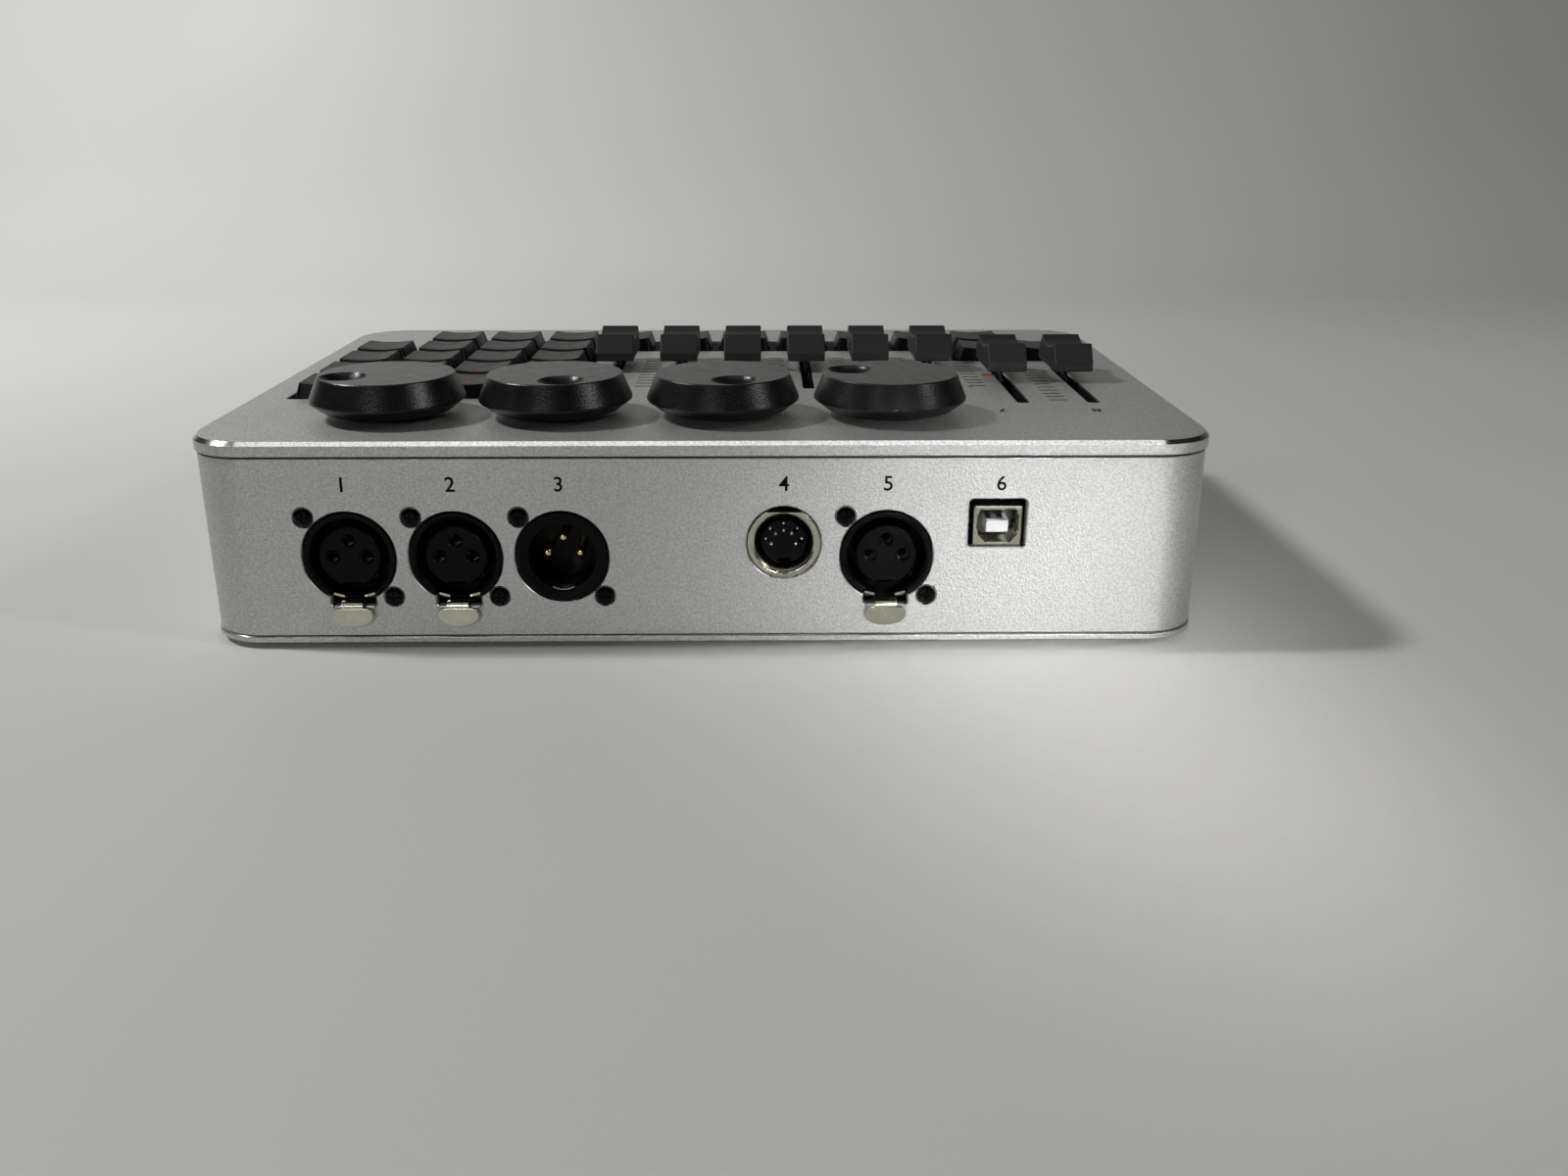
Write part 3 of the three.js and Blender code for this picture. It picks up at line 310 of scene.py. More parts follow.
# Places read from the frame
lid_low, lid_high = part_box("top_lid")
wall_low, wall_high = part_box("case_wall")
plate_low, plate_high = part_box("base_plate")
board_low, board_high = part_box("control_board")
TOP = lid_high.z
LID_BOTTOM = TOP - LID_THICKNESS
WALL_TOP = LID_BOTTOM - LID_SEAM
PANEL_Y = wall_low.y
MIDDLE = (lid_low + lid_high) / 2


def middle(node):
    low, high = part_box(node)
    return (low + high) / 2


# Outlines are lists of 2-D points, counter-clockwise, that can be asked for at any inset
def around(line):
    """Each point of a closed line between the one before and the one after it."""
    return zip(line[-1:] + line[:-1], line, line[1:] + line[:1])


def shrunk(corners, inset):
    """A closed line whose sides are moved inwards."""
    moved = []
    for before, corner, after in around(corners):
        back = (corner - before).normalized()
        on = (after - corner).normalized()
        first = Vector((-back.y, back.x))
        second = Vector((-on.y, on.x))
        moved.append(corner + inset * (first + second) / (1 + first.dot(second)))
    return moved


def bend(before, corner, after, radius, steps):
    """The arc that rounds one corner, or the corner itself where there is nothing to round."""
    back = before - corner
    on = after - corner
    half = back.angle(on) / 2
    reach = min(radius / math.tan(half), back.length / 2, on.length / 2)
    if reach < 1e-9:
        return [corner.copy() for _ in range(steps + 1)]
    radius = reach * math.tan(half)
    centre = corner + (back.normalized() + on.normalized()).normalized() * radius / math.sin(half)
    arm = corner + back.normalized() * reach - centre
    side = -1 if back.cross(on) > 0 else 1
    turn = side * (math.pi - 2 * half) / steps
    return [centre + Matrix.Rotation(turn * k, 2) @ arm for k in range(steps + 1)]


def rounded(corners, radius, steps, inset):
    """A closed line at an inset, with arcs that keep their centres."""
    convex = [(corner - before).cross(after - corner) > 0 for before, corner, after in around(corners)]
    line = []
    for (before, corner, after), points_out in zip(around(shrunk(corners, inset)), convex):
        arc = radius - inset if points_out else radius + inset
        line += bend(before, corner, after, max(arc, 0), steps)
    return line


def polygon(corners, radius=0.0, steps=1):
    corners = [Vector(corner) for corner in corners]
    return lambda inset: rounded(corners, radius, steps, inset)


def rectangle(width, depth, radius=0.0, steps=1, x=0.0, y=0.0):
    half = Vector((width / 2, depth / 2))
    corners = [(half.x, half.y), (-half.x, half.y), (-half.x, -half.y), (half.x, -half.y)]
    return polygon([(x + u, y + v) for u, v in corners], radius, steps)


def spoke(radius, angle):
    """The point at a distance and an angle from the origin."""
    return radius * Vector((math.cos(angle), math.sin(angle)))


def circle(radius, sides, x=0.0, y=0.0):
    centre = Vector((x, y))
    angles = [2 * math.pi * k / sides for k in range(sides)]
    return lambda inset: [centre + spoke(radius - inset, angle) for angle in angles]


def placed(outline, place, spin):
    """An outline turned and then shifted."""
    return lambda inset: [place + spin @ p for p in outline(inset)]


# Profiles of edges
def eased(line, radius, steps=3):
    """An open profile whose inner corners are rounded a little."""
    line = [Vector(point) for point in line]
    made = [line[0]]
    for before, corner, after in zip(line, line[1:], line[2:]):
        made += bend(before, corner, after, radius, steps)
    return made + [line[-1]]


def edge(low, high, low_cut, high_cut, ease):
    """The (inset, height) levels of a plate's edge with both its corners cut at 45 degrees and eased."""
    line = [(low_cut + 2 * ease, low), (low_cut, low), (0, low + low_cut)]
    line += [(0, high - high_cut), (high_cut, high), (high_cut + 2 * ease, high)]
    return eased(line, ease)[1:-1]


def quarter(radius, turns):
    """The (inset, drop) of points on a rounded edge, from their angles."""
    angles = [math.radians(turn) for turn in turns]
    return [(radius * (1 - math.cos(a)), radius * (1 - math.sin(a))) for a in angles]


# Lifts put 2-D points into space
def upright(x, y, z):
    return Vector((x, y, z))


def outward(x, z, depth):
    return Vector((x, PANEL_Y + depth, z))


def deeper(start):
    """A lift whose depths run from a face inside the panel."""
    return lambda x, z, depth: outward(x, z, start + depth)


def sideways(y, z, x):
    return Vector((x, y, TOP + z))


def along_hinge(y, z, x):
    return Vector((x, PANEL_Y + LATCH_PIVOT_DEPTH + y, z - LATCH_PIVOT))


# Meshes
class Shell:
    """Rings of points joined by skins and closed by caps."""

    def __init__(self):
        self.points = []
        self.faces = []

    def ring(self, points):
        start = len(self.points)
        self.points += [Vector(point) for point in points]
        return list(range(start, len(self.points)))

    def skin(self, low, high):
        count = len(low)
        for i in range(count):
            n = (i + 1) % count
            self.faces.append((low[i], low[n], high[n], high[i]))

    def cap(self, *rings):
        flat = [index for ring in rings for index in ring]
        outlines = [[self.points[index] for index in ring] for ring in rings]
        self.faces += [tuple(flat[k] for k in face) for face in tessellate_polygon(outlines)]

    def stack(self, rings):
        made = [self.ring(ring) for ring in rings]
        for low, high in zip(made, made[1:]):
            self.skin(low, high)
        return made[0], made[-1]

    def body(self, rings):
        """A stack of rings closed at both ends."""
        for end in self.stack(rings):
            self.cap(end)

    def mesh(self, name, sharp=30):
        body = bmesh.new()
        corners = [body.verts.new(point) for point in self.points]
        for face in self.faces:
            if len(set(face)) == len(face):
                body.faces.new([corners[k] for k in face])
        bmesh.ops.remove_doubles(body, verts=body.verts, dist=1e-6)
        bmesh.ops.dissolve_degenerate(body, edges=body.edges, dist=1e-7)
        bmesh.ops.recalc_face_normals(body, faces=body.faces)
        made = bpy.data.meshes.new(name)
        body.to_mesh(made)
        body.free()
        shade(made, sharp)
        return made


def shade(mesh, sharp=30):
    mesh.shade_smooth()
    mesh.set_sharp_from_angle(angle=math.radians(sharp))


def link(name, data):
    made = bpy.data.objects.new(name, data)
    bpy.context.scene.collection.objects.link(made)
    return made


def plate(name, outer, levels, holes=(), hole_levels=(), lift=upright):
    """A flat body between two faces, whose edges follow (inset, height) levels."""
    shell = Shell()
    ends = []
    shapes = [(outer, levels, 1)] + [(hole, hole_levels, -1) for hole in holes]
    for shape, profile, side in shapes:
        rings = [[lift(p.x, p.y, height) for p in shape(side * inset)] for inset, height in profile]
        ends.append(shell.stack(rings))
    shell.cap(*[low for low, _ in ends])
    shell.cap(*[high for _, high in ends])
    return link(name, shell.mesh(name))


def prism(name, outline, start, end, lift=outward):
    return plate(name, outline, [(0, start), (0, end)], lift=lift)


def block(name, low, high):
    corners = [(high[0], high[1]), (low[0], high[1]), (low[0], low[1]), (high[0], low[1])]
    return prism(name, polygon(corners), low[2], high[2], upright)


def turned(name, profile, sides, lift=upright, x=0.0, y=0.0, closed=False):
    """A profile of (radius, height) about an axis: capped at both ends, or closed on itself."""
    shell = Shell()
    rings = [[lift(p.x, p.y, height) for p in circle(radius, sides, x, y)(0)] for radius, height in profile]
    if closed:
        first, last = shell.stack(rings)
        shell.skin(last, first)
    else:
        shell.body(rings)
    return link(name, shell.mesh(name))


def flared(name, shape, depth, lift=outward, chamfer=CUT_CHAMFER):
    """A cutter through a face at height zero whose mouth is a little wider."""
    levels = [(-chamfer - OVERRUN, -OVERRUN), (0, chamfer), (0, depth)]
    return plate(name, shape, levels, lift=lift)


def carve(piece, *others, operation="DIFFERENCE"):
    """Cuts the others out of a piece, or joins them to it, for good."""
    for other in others:
        step = piece.modifiers.new("carve", "BOOLEAN")
        step.operation = operation
        step.solver = "EXACT"
        step.object = other
    bpy.context.view_layer.update()
    old = piece.data
    graph = bpy.context.evaluated_depsgraph_get()
    piece.data = bpy.data.meshes.new_from_object(piece.evaluated_get(graph))
    piece.data.name = old.name
    piece.modifiers.clear()
    for other in others:
        bpy.data.objects.remove(other)
    bpy.data.meshes.remove(old)
    shade(piece.data)
    return piece


def take(piece):
    """The mesh of a piece that was only built to be copied."""
    mesh = piece.data
    bpy.data.objects.remove(piece)
    return mesh


def settle(piece):
    """Flat faces keep their own normals beside small rounded edges."""
    weigh = piece.modifiers.new("shading", "WEIGHTED_NORMAL")
    weigh.keep_sharp = True
    weigh.weight = 100
    return piece


def seat(piece, x, z):
    """Moves a piece that was built about its own axis to its place in the panel."""
    piece.location = (x, 0, z)
    return piece


def dress(piece, finish, body, *nodes):
    """Gives a piece its material and the body that it rides on, and hides the nodes that it stands for."""
    material, slot = finish
    piece.data.materials.clear()
    piece.data.materials.append(material)
    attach(piece, body)
    if nodes:
        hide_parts(*nodes)
    return piece


# Materials
class Surface:
    """A material with its shader, and the noises that drive it at real sizes."""

    def __init__(self, name, metallic=0.0, specular=0.5):
        self.material = bpy.data.materials.new(name)
        self.material.use_nodes = True
        self.nodes = self.material.node_tree.nodes
        self.links = self.material.node_tree.links
        self.shader = self.nodes["Principled BSDF"]
        self.set("Metallic", metallic)
        self.set("Specular IOR Level", specular)
        self.place = self.nodes.new("ShaderNodeTexCoord").outputs["Object"]

    def put(self, socket, value):
        """Sets a socket to a number or links it to another socket."""
        if isinstance(value, float):
            socket.default_value = value
        else:
            self.links.new(value, socket)

    def set(self, name, value):
        self.put(self.shader.inputs[name], value)

    def noise(self, size, detail=2.0):
        node = self.nodes.new("ShaderNodeTexNoise")
        node.inputs["Scale"].default_value = 1 / size
        node.inputs["Detail"].default_value = detail
        self.links.new(self.place, node.inputs["Vector"])
        return node.outputs["Fac"]

    def ranged(self, source, low, high):
        node = self.nodes.new("ShaderNodeMapRange")
        node.inputs["From Min"].default_value = NOISE_LOW
        node.inputs["From Max"].default_value = NOISE_HIGH
        node.inputs["To Min"].default_value = low
        node.inputs["To Max"].default_value = high
        self.links.new(source, node.inputs["Value"])
        return node.outputs["Result"]

    def between(self, source, first, second):
        node = self.nodes.new("ShaderNodeValToRGB")
        stops = zip(node.color_ramp.elements, (NOISE_LOW, NOISE_HIGH), (first, second))
        for stop, place, colour in stops:
            stop.position = place
            stop.color = (*colour, 1)
        self.links.new(source, node.inputs["Fac"])
        return node.outputs["Color"]

    def maths(self, operation, first, second=0.0):
        node = self.nodes.new("ShaderNodeMath")
        node.operation = operation
        self.put(node.inputs[0], first)
        self.put(node.inputs[1], second)
        return node.outputs["Value"]

    def bump(self, source, depth, strength):
        node = self.nodes.new("ShaderNodeBump")
        node.inputs["Distance"].default_value = depth
        self.put(node.inputs["Strength"], strength)
        self.put(node.inputs["Height"], source)
        self.set("Normal", node.outputs["Normal"])


def grey(tone, warm=0.0):
    """A linear grey from an 8-bit tone, a little more olive where it is warm."""
    value = ((tone / 255 + 0.055) / 1.055) ** 2.4
    return (value * (1 - warm / 2), value, value * (1 - 3 * warm))


def blasted_aluminium():
    """Blasted and anodised, brighter and smoother where an edge was cut at a slant."""
    made = Surface("anodised_aluminium", metallic=1.0)
    speck = made.noise(size=0.00055, detail=1)
    made.set("Base Color", made.between(speck, grey(184, warm=0.008), grey(210, warm=0.008)))
    split = made.nodes.new("ShaderNodeSeparateXYZ")
    made.links.new(made.nodes.new("ShaderNodeNewGeometry").outputs["True Normal"], split.inputs["Vector"])
    level = made.maths("ABSOLUTE", split.outputs["Z"])
    leans = made.maths("GREATER_THAN", level, SLANT_LOW)
    slant = made.maths("MULTIPLY", leans, made.maths("LESS_THAN", level, SLANT_HIGH))
    steep = made.maths("MULTIPLY", slant, made.maths("GREATER_THAN", level, STEEP_LOW))
    rough = made.ranged(made.noise(size=0.03, detail=3), 0.54, 0.6)
    rough = made.maths("SUBTRACT", rough, made.maths("MULTIPLY", slant, SLANT_POLISH))
    rough = made.maths("SUBTRACT", rough, made.maths("MULTIPLY", steep, STEEP_POLISH))
    made.set("Roughness", rough)
    fade = made.maths("SUBTRACT", 1.0, made.maths("MULTIPLY", slant, SLANT_FADE))
    made.bump(made.noise(size=0.0005), depth=0.00018, strength=fade)
    return made.material


def moulded(name, tones, roughness, grain, depth, specular=0.5):
    """Moulded plastic between two greys, with a spark-eroded grain of a size and a depth."""
    made = Surface(name, specular=specular)
    made.set("Base Color", made.between(made.noise(size=0.008, detail=3), grey(tones[0]), grey(tones[1])))
    made.set("Roughness", made.ranged(made.noise(size=0.004), *roughness))
    made.bump(made.noise(grain), depth, strength=0.5)
    return made.material


def plated(name, first, second, roughness):
    """Plated metal between two colours."""
    made = Surface(name, metallic=1.0)
    made.set("Base Color", made.between(made.noise(size=0.003, detail=3), first, second))
    made.set("Roughness", made.ranged(made.noise(size=0.001, detail=3), *roughness))
    made.bump(made.noise(size=0.0008), depth=0.000002, strength=0.5)
    return made.material


def ink(name, colour):
    made = Surface(name, specular=0.05)
    worn = tuple(0.8 * c for c in colour)
    made.set("Base Color", made.between(made.noise(size=0.0006), colour, worn))
    made.set("Roughness", made.ranged(made.noise(size=0.001), 0.8, 0.9))
    return made.material


def soldered_board():
    made = Surface("circuit_board")
    mottle = made.noise(size=0.002, detail=3)
    made.set("Base Color", made.between(mottle, (0.004, 0.006, 0.005), (0.01, 0.014, 0.011)))
    made.set("Roughness", made.ranged(made.noise(size=0.001), 0.5, 0.7))
    made.bump(made.noise(size=0.0008), depth=0.00003, strength=0.4)
    return made.material


# Painted shade: a near-black moulding for the fader slots' side walls, which lie in shadow.
slot_shade = moulded("slot_wall_painted_shade", (6, 9), (0.7, 0.8), 0.0003, 0.00002, 0.1)
screw_black = plated("screw_black", grey(22), grey(32), (0.2, 0.26))
# Dark steel of the levers and shafts, also used as painted shade on the latches' faces deep in the sockets.
dark_steel_and_latch_shade = plated("lever_steel_and_latch_shade", grey(44), grey(54), (0.35, 0.45))
print_dark = ink("print_dark", grey(16))
board_green = soldered_board()

# Finishes: a material and the slot that it stands in
ALUMINIUM = (blasted_aluminium(), "anodised_aluminium")
KEY_PLASTIC = (moulded("key_plastic", (6, 10), (0.34, 0.42), 0.00035, 0.00002, 0.15), "key_plastic")
CAP_PLASTIC = (moulded("cap_plastic", (26, 31), (0.42, 0.5), 0.0003, 0.00003, 0.3), "cap_plastic")
KNOB_PLASTIC = (moulded("knob_plastic", (12, 16), (0.27, 0.33), 0.0005, 0.00012, 0.38), "knob_plastic")
SOCKET_BLACK = (moulded("socket_black", (3, 5), (0.28, 0.36), 0.0002, 0.00001, 0.1), "socket_black")
SOCKET_SCREW = (screw_black, "socket_black")
BASE_SCREW = (screw_black, "nickel")
CAP_LEVER = (dark_steel_and_latch_shade, "cap_plastic")
KNOB_SHAFT = (dark_steel_and_latch_shade, "knob_plastic")
NICKEL = (plated("nickel", (0.50, 0.485, 0.385), (0.57, 0.555, 0.45), (0.2, 0.28)), "nickel")
GOLD = (plated("gold_contacts", (0.80, 0.62, 0.28), (0.88, 0.72, 0.38), (0.16, 0.24)), "gold_contacts")
# Painted glint: the contact tips get a near-white, non-metal surface in place of the shine of their plating.
TIP_GLINT = (moulded("contact_tip_painted_glint", (214, 226), (0.2, 0.28), 0.0003, 0.000005), "nickel")
WHITE_PLASTIC = (moulded("white_plastic", (203, 210), (0.35, 0.45), 0.0003, 0.00001), "white_plastic")
# Painted shade: the back of the data socket's white insert is made mid-grey, as it lies in shade.
SHADED_PLASTIC = (moulded("usb_insert_back_painted_shade", (96, 106), (0.35, 0.45), 0.0003, 0.00001), "white_plastic")
RUBBER = (moulded("foot_rubber", (18, 26), (0.7, 0.85), 0.0003, 0.00006), "foot_rubber")
BOARD = (board_green, "circuit_board")
PRINT_DARK = (print_dark, "anodised_aluminium")
PRINT_RED = (ink("print_red", (0.30, 0.09, 0.03)), "anodised_aluminium")
PRINT_AMBER = (ink("print_amber", (0.55, 0.20, 0.02)), "key_plastic")

# Names and places of what repeats
keypad = [f"keypad_key_{c}{r}" for r in range(1, 6) for c in "abcd" if (c, r) != ("a", 1)]
strip = [f"executor_key_{n}" for n in range(1, 7)] + ["crossfade_key_1", "crossfade_key_2", "master_key"]
channel_caps = [f"channel_fader_cap_{n}" for n in range(1, 7)]
caps = channel_caps + ["crossfader_cap", "master_fader_cap"]
knobs = [f"encoder_knob_{n}" for n in range(1, 5)]
feet = ["foot_front_left", "foot_front_right", "foot_back_left", "foot_back_right"]
females = [1, 2, 4]
SOCKET_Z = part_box("xlr_socket_1")[1].z - XLR_FLANGE / 2
socket_x = {n: middle(f"xlr_socket_{n}").x for n in range(1, 5)}
DIN_X = middle("din_shield").x
DIN_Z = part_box("din_shield")[0].z + DIN_RADIUS
usb_middle = middle("usb_shell")
USB_X = USB_CUT_X + USB_SHIFT
USB_Z = usb_middle.z - USB_DROP
key_low, key_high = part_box("master_key")
KEY_BASE = (key_high - key_low).xy
POST_X = -wall_low.x - WALL_THICKNESS - POST_INSET
POST_Y = MIDDLE.y - wall_low.y - WALL_THICKNESS - POST_INSET
posts = [Vector((x, MIDDLE.y + y)) for x in (-POST_X, POST_X) for y in (-POST_Y, POST_Y)]


def slot_middle(cap):
    rest = CHANNEL_REST if cap in channel_caps else CROSS_REST
    place = middle(cap)
    return Vector((place.x, place.y - rest))


def screw_places(x):
    """The two screws of a socket, on one diagonal."""
    return [(x + side * SCREW_OFFSET, SOCKET_Z - side * SCREW_OFFSET) for side in (-1, 1)]


# Lid
def lid_outline(inset):
    size = lid_high - lid_low
    return rectangle(size.x, size.y, LID_CORNER, CASE_STEPS, MIDDLE.x, MIDDLE.y)(inset)


def keypad_cut():
    reach = KEY_BASE / 2 + KEY_CUT_GAP
    a5, d5, d1 = middle("keypad_key_a5"), middle("keypad_key_d5"), middle("keypad_key_d1")
    b1, a2 = middle("keypad_key_b1"), middle("keypad_key_a2")
    corners = [
        (a5.x - reach.x, a5.y - reach.y),
        (d5.x + reach.x, d5.y - reach.y),
        (d1.x + reach.x, d1.y + reach.y),
        (b1.x - reach.x, b1.y + reach.y),
        (b1.x - reach.x, a2.y + reach.y),
        (a2.x - reach.x, a2.y + reach.y),
    ]
    return polygon(corners, CUT_CORNER, 6)


def strip_cut():
    reach = KEY_BASE / 2 + KEY_CUT_GAP
    first, last = middle("executor_key_1"), middle("crossfade_key_1")
    near, far = middle("crossfade_key_2"), middle("master_key")
    corners = [
        (near.x - reach.x, near.y - reach.y),
        (far.x + reach.x, far.y - reach.y),
        (far.x + reach.x, far.y + reach.y),
        (last.x + reach.x, far.y + reach.y),
        (last.x + reach.x, last.y + reach.y),
        (first.x - reach.x, first.y + reach.y),
        (first.x - reach.x, first.y - reach.y),
        (near.x - reach.x, first.y - reach.y),
    ]
    return polygon(corners, CUT_CORNER, 6)


def darken_slots(lid):
    """The side walls of the fader slots get a near-black material: painted shade, as they lie in shadow."""
    lid.data.materials.append(slot_shade)
    slots = [slot_middle(cap) for cap in caps]
    reach = SLOT_SIZE / 2 + Vector((HOLE_EASE, HOLE_EASE)) / 2
    for face in lid.data.polygons:
        if abs(face.normal.z) > 0.1:
            continue
        for place in slots:
            away = face.center.xy - place
            if abs(away.x) < reach.x and abs(away.y) < reach.y:
                face.material_index = 1


def make_lid():
    holes = [keypad_cut(), strip_cut()]
    for cap in caps:
        holes.append(rectangle(*SLOT_SIZE, SLOT_CORNER, 4, *slot_middle(cap)))
    for knob in knobs:
        holes.append(circle(BUSH_HOLE, SHAFT_SIDES, *middle(knob).xy))
    levels = edge(LID_BOTTOM, TOP, LID_EASE, LID_CHAMFER, LID_EASE)
    hole_levels = edge(LID_BOTTOM, TOP, HOLE_EASE, HOLE_EASE, HOLE_EASE / 2)
    lid = settle(plate("lid_plate", lid_outline, levels, holes, hole_levels))
    darken_slots(dress(lid, ALUMINIUM, CASE, "top_lid"))


def band(width, depth, radius, thickness, steps):
    """The outer and the inner outline of a band that runs round the case."""
    outer = rectangle(width, depth, radius, steps, MIDDLE.x, MIDDLE.y)
    thinner = 2 * thickness
    inner = rectangle(width - thinner, depth - thinner, radius - thickness, steps, MIDDLE.x, MIDDLE.y)
    return outer, inner


def make_lid_underside():
    """The rim that drops inside the wall, and the studs that the control board hangs from."""
    width = wall_high.x - wall_low.x - 2 * (WALL_THICKNESS + RIM_GAP)
    depth = 2 * (MIDDLE.y - wall_low.y) - 2 * (WALL_THICKNESS + RIM_GAP)
    radius = LID_CORNER - LID_OVERHANG - WALL_THICKNESS - RIM_GAP
    outer, inner = band(width, depth, radius, RIM_THICKNESS, RIM_STEPS)
    levels = [(0, WALL_TOP - RIM_DEPTH), (0, LID_BOTTOM)]
    rim = plate("lid_rim", outer, levels, [inner], levels)
    column = [(POST_RADIUS + RIM_GAP, 0), (POST_RADIUS + RIM_GAP, LID_BOTTOM + OVERRUN)]
    carve(rim, *[turned("relief", column, STUD_SIDES, x=place.x, y=place.y) for place in posts])
    dress(rim, ALUMINIUM, CASE, "top_lid")
    left, right = board_low.x + STUD_INSET, board_high.x - STUD_INSET
    near, far = board_low.y + STUD_INSET, board_high.y - STUD_INSET
    places = [(left, near), (right, near), (left, far), (0, far), (right, far)]
    bottom = lid_low.z
    profile = eased([(STUD_RADIUS / 2, bottom), (STUD_RADIUS, bottom), (STUD_RADIUS, LID_BOTTOM)], HOLE_EASE)
    for n, (x, y) in enumerate(places, 1):
        dress(turned(f"lid_stud_{n}", profile, STUD_SIDES, x=x, y=y), ALUMINIUM, CASE, "top_lid")


# Wall and what stands in its corners
def wall_cutters():
    shapes = []
    for n, x in socket_x.items():
        shapes.append(circle(XLR_HOLE, SOCKET_SIDES, x, SOCKET_Z))
        shapes += [circle(SCREW_SHANK + RIM_GAP, HINGE_SIDES, *place) for place in screw_places(x)]
        if n in females:
            tall = NOTCH_BOTTOM - NOTCH_TOP / 2
            z = SOCKET_Z - NOTCH_BOTTOM + tall / 2
            shapes.append(rectangle(NOTCH_WIDTH, tall, NOTCH_CORNER, 5, x, z))
    shapes.append(circle(DIN_HOLE, DIN_HOLE_SIDES, DIN_X, DIN_Z))
    shapes.append(rectangle(*USB_CUT, USB_CUT_CORNER, 6, USB_CUT_X, USB_CUT_Z))
    cutters = [flared("cutter", shape, WALL_THICKNESS + OVERRUN) for shape in shapes]
    for place in [place for x in socket_x.values() for place in screw_places(x)]:
        seat_shape = circle(SCREW_HEAD + RIM_GAP / 3, POST_SIDES, *place)
        cutters.append(flared("seat", seat_shape, SCREW_SINK + RIM_GAP / 3))
    return cutters


def make_wall():
    width = wall_high.x - wall_low.x
    depth = 2 * (MIDDLE.y - wall_low.y)
    outer, inner = band(width, depth, LID_CORNER - LID_OVERHANG, WALL_THICKNESS, CASE_STEPS)
    levels = edge(wall_low.z, WALL_TOP, WALL_EASE, WALL_EASE, WALL_EASE / 2)
    wall = plate("wall_band", outer, levels, [inner], levels)
    carve(wall, *wall_cutters())
    dress(settle(wall), ALUMINIUM, CASE, "case_wall")
    low, high = wall_low.z, wall_high.z
    profile = [(PLATE_HOLE, low), (POST_RADIUS, low), (POST_RADIUS, high), (PLATE_HOLE, high)]
    profile = eased(profile, HOLE_EASE)
    for n, place in enumerate(posts, 1):
        post = turned(f"wall_post_{n}", profile, POST_SIDES, x=place.x, y=place.y, closed=True)
        dress(post, ALUMINIUM, CASE, "case_wall")


# Base and feet
def cross_recess(size, depth, lift, x, y, height):
    """A tapered cross, as a screwdriver's tip leaves in a screw head."""
    thin = size / CROSS_SLIMNESS
    corner = size * CROSS_CORNER
    levels = [(-corner, height - OVERRUN / 2), (0, height), (size * CROSS_TAPER, height + depth)]
    shapes = [rectangle(*arm, corner, 3, x, y) for arm in ((size, thin), (thin, size))]
    return [plate("recess", shape, levels, lift=lift) for shape in shapes]


def make_base():
    size = plate_high - plate_low
    outer = rectangle(size.x, size.y, PLATE_CORNER, CASE_STEPS, MIDDLE.x, MIDDLE.y)
    holes = [circle(PLATE_HOLE, POST_SIDES, place.x, place.y) for place in posts]
    levels = edge(plate_low.z, plate_high.z, PLATE_CHAMFER, PLATE_CHAMFER, PLATE_EASE)
    sink = PLATE_SINK - PLATE_HOLE
    hole_levels = [(sink, plate_low.z), (0, plate_low.z + sink), (0, plate_high.z)]
    base = settle(plate("base_sheet", outer, levels, holes, hole_levels))
    dress(base, ALUMINIUM, CASE, "base_plate")
    low = plate_low.z + RIM_GAP / 3
    taper = PLATE_SCREW - PLATE_SHANK
    profile = [(PLATE_SCREW, low), (PLATE_SCREW, low + RIM_GAP / 3)]
    profile += [(PLATE_SHANK, low + taper), (PLATE_SHANK, low + 4 * taper)]
    for n, (x, y) in enumerate(posts, 1):
        screw = turned(f"base_screw_{n}", profile, POST_SIDES, x=x, y=y)
        carve(screw, *cross_recess(PLATE_SCREW * 1.05, PLATE_SCREW / 4, upright, x, y, low))
        dress(screw, BASE_SCREW, CASE, "base_plate")


def make_feet():
    for name in feet:
        low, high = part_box(name)
        radius = (high.x - low.x) / 2
        profile = [
            (radius - 2 * FOOT_EDGE, low.z),
            (radius - FOOT_EDGE, low.z),
            (radius, low.z + FOOT_EDGE),
            (radius, high.z),
            (radius - FOOT_EDGE, high.z),
        ]
        place = middle(name)
        foot = turned(f"{name}_pad", eased(profile, FOOT_EDGE / 2), PAD_SIDES, x=place.x, y=place.y)
        dress(settle(foot), RUBBER, CASE, name)


# Keys
def key_outline(width, depth, radius, inset=0.0):
    """A rounded rectangle with points along its sides too, so that it can follow a dished top."""
    line = rectangle(width, depth, radius, KEY_CORNER_STEPS)(inset)
    count = KEY_CORNER_STEPS + 1
    made = []
    for start in range(0, len(line), count):
        corner = line[start:start + count]
        after = line[(start + count) % len(line)]
        made += corner
        made += [corner[-1].lerp(after, k / KEY_SIDE_STEPS) for k in range(1, KEY_SIDE_STEPS)]
    return made


def level_ring(line, height):
    return [(p.x, p.y, height) for p in line]


